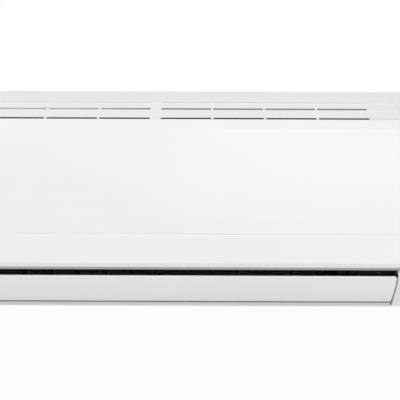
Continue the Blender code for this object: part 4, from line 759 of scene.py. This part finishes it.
CAD_LOOKS: dict[str, Look] = {
    "white_abs": Look.CASING,
    "white_panel": Look.PANEL,
    "grey_plastic": Look.GREY,
    "pan_plastic": Look.PAN,
    "fan_plastic": Look.FAN,
    "filter_frame": Look.FRAME,
    "motor_resin": Look.RESIN,
    "circuit_board": Look.BOARD,
    "galvanised_steel": Look.ZINC,
    "fin_aluminium": Look.FINS,
    "copper": Look.COPPER,
    "brass": Look.BRASS,
    "rubber": Look.RUBBER,
}


NODE_LOOKS: dict[str, Look] = {
    "outlet_flap": Look.FLAP,
    "rear_chassis": Look.CHASSIS,
    "flap_bracket": Look.HINGE,
    "vane": Look.VANE,
    "wall_plate": Look.PLATE,
}


# Geometry


class Builder:
    """Collects faces into one mesh object."""

    def __init__(self, name: str) -> None:
        """Starts an empty mesh.

        Args:
            name: Name of the piece.
        """
        self.name = name
        self.mesh = bmesh.new()

    def loft(self, loops: Sequence[Sequence[Vector]]) -> "Builder":
        """Joins equal loops of points with quads, and caps both ends.

        Args:
            loops: Loops of the same length, in order.

        Returns:
            This builder.
        """
        rows = [[self.mesh.verts.new(point) for point in loop] for loop in loops]
        size = len(rows[0])
        for low, high in zip(rows, rows[1:]):
            for first in range(size):
                second = (first + 1) % size
                self.mesh.faces.new((low[first], low[second], high[second], high[first]))
        self.mesh.faces.new(rows[0][::-1])
        self.mesh.faces.new(rows[-1])
        return self

    def prism(self, profile: Profile, x_from: float, x_to: float) -> "Builder":
        """Extrudes a side profile along the unit."""
        return self.loft([[place(x, *point) for point in profile] for x in sorted((x_from, x_to))])

    def block(self, centre: Vector, size: Sequence[float]) -> "Builder":
        """Adds a box.

        Args:
            centre: Middle of the box.
            size: Its length along each axis.

        Returns:
            This builder.
        """
        half = Vector(size) / 2
        ring = ((-1, -1), (1, -1), (1, 1), (-1, 1))
        return self.loft([
            [centre + Vector((half.x * u, half.y * v, half.z * w)) for u, v in ring]
            for w in (-1, 1)
        ])

    def turned(self, base: Vector, axis: Vector, profile: Profile, sides: int = 20) -> "Builder":
        """Turns a profile about an axis.

        Args:
            base: Point of the axis that distances start from.
            axis: Direction of the axis.
            profile: Pairs of radius and distance along the axis.
            sides: Number of sides.

        Returns:
            This builder.
        """
        turn = axis.to_track_quat("Z", "Y")
        return self.loft([
            [
                base + turn @ Vector((radius * math.cos(a), radius * math.sin(a), reach))
                for a in circle(sides)
            ]
            for radius, reach in profile
        ])

    def finish(
        self, look: Look, body: str, bevel: float = 0.0, smooth: float = 35.0
    ) -> bpy.types.Object:
        """Turns the faces into a shaded piece that rides on a body.

        Args:
            look: Finish of the piece.
            body: Name of the CAD body that carries it.
            bevel: Width of the bevel on its sharp edges, or 0.
            smooth: Largest angle in degrees that is shaded smooth.

        Returns:
            The new object.
        """
        bmesh.ops.recalc_face_normals(self.mesh, faces=self.mesh.faces)
        data = bpy.data.meshes.new(self.name)
        self.mesh.to_mesh(data)
        self.mesh.free()
        data.materials.append(look.material)
        data.shade_smooth()
        data.set_sharp_from_angle(angle=math.radians(smooth))
        piece = bpy.data.objects.new(self.name, data)
        bpy.context.scene.collection.objects.link(piece)
        if bevel:
            modifier = piece.modifiers.new("edge", "BEVEL")
            modifier.width = bevel
            modifier.segments = BEVEL_SEGMENTS
            modifier.limit_method = "ANGLE"
            modifier.angle_limit = math.radians(BEVEL_ANGLE)
        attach(piece, body)
        return piece


# Sub-assemblies


@dataclass
class CoilSlab:
    """One slab of the coil: a pack of thin fins on hairpin tubes.

    Attributes:
        node: CAD node that the pack stands for.
        start: Start of the slab's centre line.
        end: End of the slab's centre line.
        thickness: Depth of the fins across the air's way.
        half_length: Half the pack's length along the unit.
        pitch: Distance from fin to fin.
        fin: Thickness of a fin.
        wave: Length of one wave of a fin's edge.
        dip: Depth of the wave.
    """

    node: str
    start: Point
    end: Point
    thickness: float = 0.0216
    half_length: float = 0.2726
    pitch: float = 0.0019
    fin: float = 0.00022
    wave: float = 0.0125
    dip: float = 0.0006

    def corners(self) -> Profile:
        """Draws the side outline of one fin, with a wavy outer and inner edge.

        Returns:
            The outline's corners.
        """
        start, end = Vector(self.start), Vector(self.end)
        length = (end - start).length
        along = (end - start).normalized()
        across = Vector((-along.y, along.x))
        waves = max(4, round(length / self.wave))
        edge = [
            (start + along * length * step / waves, self.dip * (step % 2))
            for step in range(waves + 1)
        ]
        outer = [point - across * (self.thickness / 2 - dip) for point, dip in edge]
        inner = [point + across * (self.thickness / 2 - dip) for point, dip in reversed(edge)]
        return [tuple(point) for point in outer + inner]

    def build(self) -> list[bpy.types.Object]:
        """Makes the fins and lets them stand for the CAD slab.

        Returns:
            The pack of fins.
        """
        fins = Builder(f"{self.node}_fins")
        profile = self.corners()
        count = int(2 * self.half_length / self.pitch)
        for number in range(count + 1):
            x = -self.half_length + 2 * (self.half_length - self.fin) * number / count
            fins.prism(profile, x, x + self.fin)
        piece = fins.finish(Look.FINS, "chassis")
        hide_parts(self.node)
        return [piece]


@dataclass
class FilterNet:
    """Netting inside a filter's frame.

    Attributes:
        side: Half of the unit that the filter lies in.
        body: Body of the filter.
        inner_x: Inner end of the netting along the unit.
        outer_x: Outer end of the netting.
        pitch: Distance from strand to strand.
        strand: Thickness of a strand.
        bend: Radius of the bend over the top.
        bend_steps: Number of steps in the bend.
        front: Depth of the upright stretch.
        sill: Height of the netting's foot.
        bend_drop: How far the bend's centre lies under the unit's top.
        back: Depth at which the netting ends.
    """

    side: Side
    body: str
    inner_x: float = 0.0090
    outer_x: float = 0.2915
    pitch: float = 0.0030
    strand: float = 0.00035
    bend: float = 0.050
    bend_steps: int = 8
    front: float = 0.1735
    sill: float = 0.1215
    bend_drop: float = 0.073
    back: float = 0.0715

    def line(self) -> list[Ray]:
        """Follows the filter's middle plane from the sill over the crown.

        Returns:
            Points in the side view, each with its outward direction.
        """
        centre = (self.front - self.bend, HEIGHT - self.bend_drop)
        rays = [((self.front, self.sill), (1.0, 0.0)), ((self.front, centre[1]), (1.0, 0.0))]
        for step in range(1, self.bend_steps + 1):
            angle = math.pi / 2 * step / self.bend_steps
            away = (math.cos(angle), math.sin(angle))
            rays.append(((centre[0] + self.bend * away[0], centre[1] + self.bend * away[1]), away))
        rays.append(((self.back, centre[1] + self.bend), (0.0, 1.0)))
        return rays

    def build(self) -> list[bpy.types.Object]:
        """Makes the strands that run up the filter and those that cross it.

        Returns:
            The netting.
        """
        net = Builder(f"{self.body}_net")
        rays = self.line()
        half = self.strand / 2
        square = ((-half, -half), (half, -half), (half, half), (-half, half))
        count = int((self.outer_x - self.inner_x) / self.pitch)
        for number in range(1, count):
            x = self.side * (self.inner_x + (self.outer_x - self.inner_x) * number / count)
            net.loft([
                [place(x + u, point[0] + away[0] * v, point[1] + away[1] * v) for u, v in square]
                for point, away in rays
            ])
        for (depth, height), away in self.even(rays):
            along = (-away[1], away[0])
            section = [
                (depth + along[0] * u + away[0] * v, height + along[1] * u + away[1] * v)
                for u, v in square
            ]
            net.loft([
                [place(self.side * x, *corner) for corner in section]
                for x in (self.inner_x, self.outer_x)
            ])
        piece = net.finish(Look.NET, self.body)
        return [piece]

    def even(self, rays: list[Ray]) -> Iterator[Ray]:
        """Spaces points evenly along a line of points with directions.

        Args:
            rays: Points of the line with their directions.

        Yields:
            Points one pitch apart, each with its direction.
        """
        left = self.pitch
        for (start, away), (end, turned) in zip(rays, rays[1:]):
            span = math.dist(start, end)
            while left < span:
                share = left / span
                point = tuple(a + (b - a) * share for a, b in zip(start, end))
                facing = Vector(away).lerp(Vector(turned), share).normalized()
                yield point, tuple(facing)
                left += self.pitch
            left -= span


@dataclass
class Screw:
    """Domed head of a screw or pin.

    Attributes:
        centre: Place of the head's underside.
        axis: Direction the head points in.
        radius: Radius of the head.
    """

    centre: Vector
    axis: Vector
    radius: float

    def add(self, builder: Builder) -> None:
        """Adds the domed head, with a hollow at its crown.

        Args:
            builder: Builder of the piece that the head belongs to.
        """
        radius = self.radius
        builder.turned(self.centre, self.axis, [
            (radius, 0.0), (radius, radius * 0.18), (radius * 0.82, radius * 0.42),
            (radius * 0.45, radius * 0.56), (radius * 0.12, radius * 0.42),
        ], 16)


@dataclass
class Fasteners:
    """Small screws of the wall plate and the control box, and two pins in the outlet's ends.

    Attributes:
        plate_x: Distances of the wall screws from the unit's middle.
        plate_heights: Heights of the wall screws.
        plate_depth: Depth of the wall screws' heads.
        plate_radius: Radius of the wall screws' heads.
        cover_x: Distances of the control box screws from the unit's middle.
        cover_heights: Heights of the control box screws.
        cover_depth: Depth of the control box screws' heads.
        cover_radius: Radius of the control box screws' heads.
        pin: Distance from the middle, depth and height of an outlet pin.
        pin_axis: Direction that the outlet pins point in.
        pin_radius: Radius of the outlet pins' heads.
    """

    plate_x: tuple[float, ...] = (0.140, 0.280)
    plate_heights: tuple[float, ...] = (0.120, 0.225)
    plate_depth: float = 0.0015
    plate_radius: float = 0.0042
    cover_x: tuple[float, ...] = (0.3055, 0.3805)
    cover_heights: tuple[float, ...] = (0.0890, 0.1650, 0.2410)
    cover_depth: float = 0.1705
    cover_radius: float = 0.0030
    pin: tuple[float, float, float] = (0.3030, 0.1685, 0.0578)
    pin_axis: tuple[float, float, float] = (0.0, -0.55, -0.83)
    pin_radius: float = 0.0016

    @staticmethod
    def group(
        name: str, spots: Sequence[Vector], axis: Sequence[float], radius: float
    ) -> bpy.types.Object:
        """Makes one piece of equal heads.

        Args:
            name: Name of the piece.
            spots: Places of the heads.
            axis: Direction that the heads point in.
            radius: Radius of the heads.

        Returns:
            The piece.
        """
        heads = Builder(name)
        for spot in spots:
            Screw(spot, Vector(axis), radius).add(heads)
        piece = heads.finish(Look.STEEL, "chassis")
        return piece

    def build(self) -> list[bpy.types.Object]:
        """Makes one piece for each group of screws.

        Returns:
            The three groups.
        """
        into_room = (0.0, -1.0, 0.0)
        wall = [
            place(side * x, self.plate_depth, height)
            for x in self.plate_x for height in self.plate_heights for side in (-1, 1)
        ]
        cover = [
            place(x, self.cover_depth, height)
            for x in self.cover_x for height in self.cover_heights
        ]
        from_middle, depth, height = self.pin
        pins = [place(side * from_middle, depth, height) for side in (-1, 1)]
        return [
            self.group("wall_plate_screws", wall, into_room, self.plate_radius),
            self.group("control_box_screws", cover, into_room, self.cover_radius),
            self.group("outlet_pins", pins, self.pin_axis, self.pin_radius),
        ]


@dataclass
class PanelInside:
    """Ribs on the back of the front panel.

    Attributes:
        depth: Greatest depth of the panel's inner face.
        middle: Height at which the inner face has that depth.
        bow: Curvature of the panel in the side view, per metre.
        rib: Thickness of a rib.
        rise: How far a rib stands off the panel.
        sink: How far a rib runs into the panel.
        foot: Height of the upright ribs' foot.
        step: Height from point to point along an upright rib.
        points: Number of points along an upright rib.
        side_ribs: Number of upright ribs on each side of the middle one.
        pitch: Distance from upright rib to upright rib.
        levels: Heights of the level ribs.
        length: Length of the level ribs.
        bevel: Width of the bevel on the ribs' edges.
    """

    depth: float = 0.1940
    middle: float = 0.145
    bow: float = 0.295
    rib: float = 0.0012
    rise: float = 0.0032
    sink: float = 0.0004
    foot: float = 0.134
    step: float = 0.0140
    points: int = 9
    side_ribs: int = 4
    pitch: float = 0.080
    levels: tuple[float, ...] = (0.138, 0.172, 0.206, 0.240)
    length: float = 0.700
    bevel: float = 0.0003

    def inner(self, height: float) -> float:
        """Depth of the panel's inner face at a height."""
        return self.depth - self.bow * (height - self.middle) ** 2

    def build(self) -> list[bpy.types.Object]:
        """Makes the grid of shallow ribs behind the panel.

        Returns:
            The grid.
        """
        ribs = Builder("panel_ribs")
        heights = [self.foot + self.step * number for number in range(self.points)]
        edge = [(self.inner(height) + self.sink, height) for height in heights]
        face = [(self.inner(height) - self.rise, height) for height in reversed(heights)]
        for number in range(-self.side_ribs, self.side_ribs + 1):
            x = number * self.pitch
            ribs.prism(edge + face, x - self.rib / 2, x + self.rib / 2)
        for height in self.levels:
            middle = self.inner(height) + (self.sink - self.rise) / 2
            size = (self.length, self.rise + self.sink, self.rib)
            ribs.block(place(0.0, middle, height), size)
        piece = ribs.finish(Look.PANEL, "front_panel", self.bevel)
        return [piece]


@dataclass
class FilterTabs:
    """Ribbed tabs by which a filter is pulled out.

    Attributes:
        side: Half of the unit that the filter lies in.
        body: Body of the filter.
        places: Distances of the tabs from the unit's middle.
        depth: Depth of the filter's front face.
        height: Height of the tab's middle.
        size: Length, reach and height of a tab.
        root: Depths behind the front face between which the tab is rooted.
        root_drop: How far the root reaches down.
        ridges: Number of ridges on a tab.
        ridge: Width and height of a ridge.
        bevel: Width of the bevel on the tab's edges.
    """

    side: Side
    body: str
    places: tuple[float, ...] = (0.075, 0.225)
    depth: float = 0.1746
    height: float = 0.1320
    size: tuple[float, float, float] = (0.026, 0.0075, 0.0024)
    root: tuple[float, float] = (0.0022, 0.0001)
    root_drop: float = 0.0100
    ridges: int = 4
    ridge: tuple[float, float] = (0.0005, 0.0008)
    bevel: float = 0.0004

    def build(self) -> list[bpy.types.Object]:
        """Makes the tabs of the filter, each with its ridges.

        Returns:
            The filter's tabs.
        """
        tabs = Builder(f"{self.body}_tabs")
        length, reach, thick = self.size
        back, front = (self.depth - behind for behind in self.root)
        foot, top = self.height - self.root_drop, self.height + thick * 0.4
        for from_middle in self.places:
            x = self.side * from_middle
            tabs.prism([
                (back, foot), (front, foot), (front, self.height - thick),
                (front + reach * 0.8, self.height - thick * 0.5), (front + reach, self.height),
                (front + reach * 0.9, top), (back, top),
            ], x - length / 2, x + length / 2)
            for step in range(self.ridges):
                spot = place(x, self.depth + reach * (0.25 + 0.2 * step), top)
                tabs.block(spot, (length * 0.8, *self.ridge))
        piece = tabs.finish(Look.LATCH, self.body, self.bevel)
        return [piece]


@dataclass
class Sleeve:
    """Foam sleeve round a refrigerant pipe, taped at both ends.

    Attributes:
        name: Name of the sleeve.
        depth: Depth of the pipe's axis.
        height: Height of the pipe's axis.
        radius: Outer radius of the foam.
        start: End of the sleeve nearer the nut.
        end: End of the sleeve nearer the riser.
        steps: Number of rings along the foam.
        sides: Number of sides of a ring.
        mouth: Radius of the foam's ends as a share of its own.
        inset: How far a band's middle lies from the foam's end.
        band: Length of a band of tape.
    """

    name: str
    depth: float
    height: float
    radius: float
    start: float
    end: float
    steps: int = 48
    sides: int = 20
    mouth: float = 0.86
    inset: float = 0.012
    band: float = 0.016

    def ring(self, step: int) -> list[Vector]:
        """Lays one ring of the slightly uneven foam.

        Args:
            step: Number of the ring along the foam.

        Returns:
            The ring's points.
        """
        x = self.start + (self.end - self.start) * step / self.steps
        uneven = 1.0 + 0.02 * math.sin(2.3 * step) + 0.012 * math.sin(5.1 * step)
        radius = self.radius * (self.mouth if step in (0, self.steps) else uneven)
        return [
            place(x, self.depth + radius * math.cos(a), self.height + radius * math.sin(a))
            for a in circle(self.sides)
        ]

    def build(self) -> list[bpy.types.Object]:
        """Makes the foam and its bands of tape.

        Returns:
            The foam, then the tape.
        """
        foam = Builder(self.name)
        foam.loft([self.ring(step) for step in range(self.steps + 1)])
        foam_piece = foam.finish(Look.FOAM, "chassis", smooth=60.0)
        tape = Builder(f"{self.name}_tape")
        edge, flat = self.radius * 1.035, self.radius * 1.05
        for x in (self.start + self.inset, self.end - self.inset):
            start = place(x - self.band / 2, self.depth, self.height)
            tape.turned(start, Vector((1, 0, 0)), [
                (edge, 0.0), (flat, 0.001), (flat, self.band - 0.001), (edge, self.band),
            ], self.sides)
        tape_piece = tape.finish(Look.TAPE, "chassis")
        return [foam_piece, tape_piece]


@dataclass
class Unit:
    """The whole dressed indoor unit.

    Attributes:
        slabs: Slabs of the coil.
        nets: Nettings of the filters.
        tabs: Pull tabs of the filters.
        sleeves: Foam sleeves of the pipes.
    """

    frame: dict
    slabs: list[CoilSlab] = field(default_factory=lambda: [
        CoilSlab("coil_front", (0.1560, 0.0884), (0.1560, 0.1676)),
        CoilSlab("coil_upper", (0.1530, 0.1760), (0.0960, 0.2500)),
        CoilSlab("coil_rear", (0.0310, 0.1580), (0.0780, 0.2360)),
    ])
    nets: list[FilterNet] = field(default_factory=lambda: [
        FilterNet(Side.LEFT, "filter_left"), FilterNet(Side.RIGHT, "filter_right"),
    ])
    tabs: list[FilterTabs] = field(default_factory=lambda: [
        FilterTabs(Side.LEFT, "filter_left"), FilterTabs(Side.RIGHT, "filter_right"),
    ])
    sleeves: list[Sleeve] = field(default_factory=lambda: [
        Sleeve("gas_sleeve", 0.0160, 0.0200, 0.0092, -0.034, 0.262),
        Sleeve("liquid_sleeve", 0.0290, 0.0360, 0.0070, 0.026, 0.262),
    ])

    def dress_nodes(self) -> list[bpy.types.Object]:
        """Gives every CAD node the finish of its slot, with a few finer choices.

        Returns:
            The nodes.
        """
        slots = {part["node"]: part["material_slot"] for part in self.frame["record"]["subparts"]}
        for name, node in self.frame["nodes"].items():
            look = CAD_LOOKS[slots[name]]
            for start, finer in NODE_LOOKS.items():
                if name.startswith(start):
                    look = finer
            node.data.materials.clear()
            node.data.materials.append(look.material)
            for polygon in node.data.polygons:
                polygon.material_index = 0
        return list(self.frame["nodes"].values())

    def build(self) -> list[bpy.types.Object]:
        """Dresses the frame and adds every piece the solids leave out.

        Returns:
            The nodes, then the pieces that were added.
        """
        pieces = self.dress_nodes()
        parts = [*self.slabs, *self.nets, *self.tabs, *self.sleeves, Fasteners(), PanelInside()]
        for part in parts:
            pieces += part.build()
        return pieces


# Studio


@dataclass(frozen=True)
class Lamp:
    """Rectangular soft light.

    Attributes:
        name: Name of the light.
        spot: Where it stands.
        target: What it points at.
        size: Width and height in metres.
        power: Power in watts.
    """

    name: str
    spot: tuple[float, float, float]
    target: tuple[float, float, float]
    size: tuple[float, float]
    power: float

    def build(self) -> None:
        """Puts the light into the scene."""
        data = bpy.data.lights.new(self.name, "AREA")
        data.shape = "RECTANGLE"
        data.size, data.size_y = self.size
        data.energy = self.power
        lamp = bpy.data.objects.new(self.name, data)
        lamp.location = self.spot
        ahead = Vector(self.target) - Vector(self.spot)
        lamp.rotation_euler = ahead.to_track_quat("-Z", "Y").to_euler()
        bpy.context.scene.collection.objects.link(lamp)


@dataclass(frozen=True)
class Studio:
    """Camera, soft light and the white surroundings.

    Attributes:
        focal: Focal length in pixels of the square picture.
        picture: Width of the picture in pixels.
        sensor: Width of the camera's sensor in millimetres.
        clip: Nearest and farthest distance that the camera sees.
        pitch: Degrees that the camera looks down.
        roll: Degrees that the camera leans to its left.
        eye: Place of the camera.
        ambient: Brightness of the surroundings.
        floor_size: Half the floor's width.
        floor_drop: How far the floor lies under the unit.
        floor_white: Share of plain white in the floor as the camera sees it.
        lamps: Soft lights in front of the unit.
    """

    focal: float = 987.0
    picture: float = 400.0
    sensor: float = 36.0
    clip: tuple[float, float] = (0.05, 50.0)
    pitch: float = 13.11
    roll: float = 0.21
    eye: tuple[float, float, float] = (0.0593, -1.460, 0.310)
    ambient: float = 0.78
    floor_size: float = 6.0
    floor_drop: float = 1.2
    floor_white: float = 0.9
    lamps: tuple[Lamp, ...] = (
        Lamp("key", (-0.6, -2.0, 2.6), (0.0, -0.1, 0.0), (2.2, 1.6), 15.0),
        Lamp("fill", (0.9, -2.8, 0.2), (0.0, -0.1, 0.0), (2.0, 1.8), 12.5),
    )

    def camera(self) -> None:
        """Puts the camera where the photograph was taken from."""
        data = bpy.data.cameras.new("camera")
        data.sensor_width = self.sensor
        data.lens = self.sensor * self.focal / self.picture
        data.clip_start, data.clip_end = self.clip
        camera = bpy.data.objects.new("camera", data)
        looking = Matrix.Rotation(math.radians(90.0 - self.pitch), 4, "X")
        leaning = Matrix.Rotation(math.radians(self.roll), 4, "Z")
        camera.matrix_world = Matrix.Translation(self.eye) @ looking @ leaning
        bpy.context.scene.collection.objects.link(camera)
        bpy.context.scene.camera = camera

    def surroundings(self) -> None:
        """Lights the scene evenly from all round, white to the camera itself."""
        world = bpy.data.worlds.new("surroundings")
        graph = Graph("surroundings", world)
        soft = graph.node("ShaderNodeBackground", {"Color": WHITE, "Strength": self.ambient})
        white = graph.node("ShaderNodeBackground", {"Color": WHITE, "Strength": 1.0})
        graph.end(graph.node("ShaderNodeMixShader", {0: graph.backdrop(), 1: soft, 2: white}))
        bpy.context.scene.world = world

    def floor(self) -> None:
        """Lays a pale floor far below the unit, nearly white to the camera."""
        mesh = bmesh.new()
        bmesh.ops.create_grid(mesh, x_segments=1, y_segments=1, size=self.floor_size)
        data = bpy.data.meshes.new("floor")
        mesh.to_mesh(data)
        mesh.free()
        graph = Graph("floor_white")
        pale = graph.node("ShaderNodeBsdfDiffuse", {"Color": FLOOR_GREY})
        white = graph.node("ShaderNodeEmission", {"Color": WHITE, "Strength": 1.0})
        seen = self.floor_white * graph.backdrop()
        graph.end(graph.node("ShaderNodeMixShader", {0: seen, 1: pale, 2: white}))
        data.materials.append(graph.owner)
        floor = bpy.data.objects.new("floor", data)
        floor.location = (0.0, 0.0, UNDERSIDE_Z - self.floor_drop)
        bpy.context.scene.collection.objects.link(floor)

    def build(self) -> None:
        """Sets up the whole studio."""
        self.camera()
        self.surroundings()
        self.floor()
        for lamp in self.lamps:
            lamp.build()
        scene = bpy.context.scene
        scene.view_settings.view_transform = "Standard"
        scene.view_settings.look = "None"


def main() -> None:
    """Loads the frame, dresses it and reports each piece."""
    logging.basicConfig(level=logging.INFO, format="%(name)s: %(message)s")
    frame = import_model()
    for piece in Unit(frame).build():
        finish = piece.data.materials[0].name
        LOG.info("%s: %d faces, %s", piece.name, len(piece.data.polygons), finish)
    Studio().build()


if __name__ == "__main__":
    main()
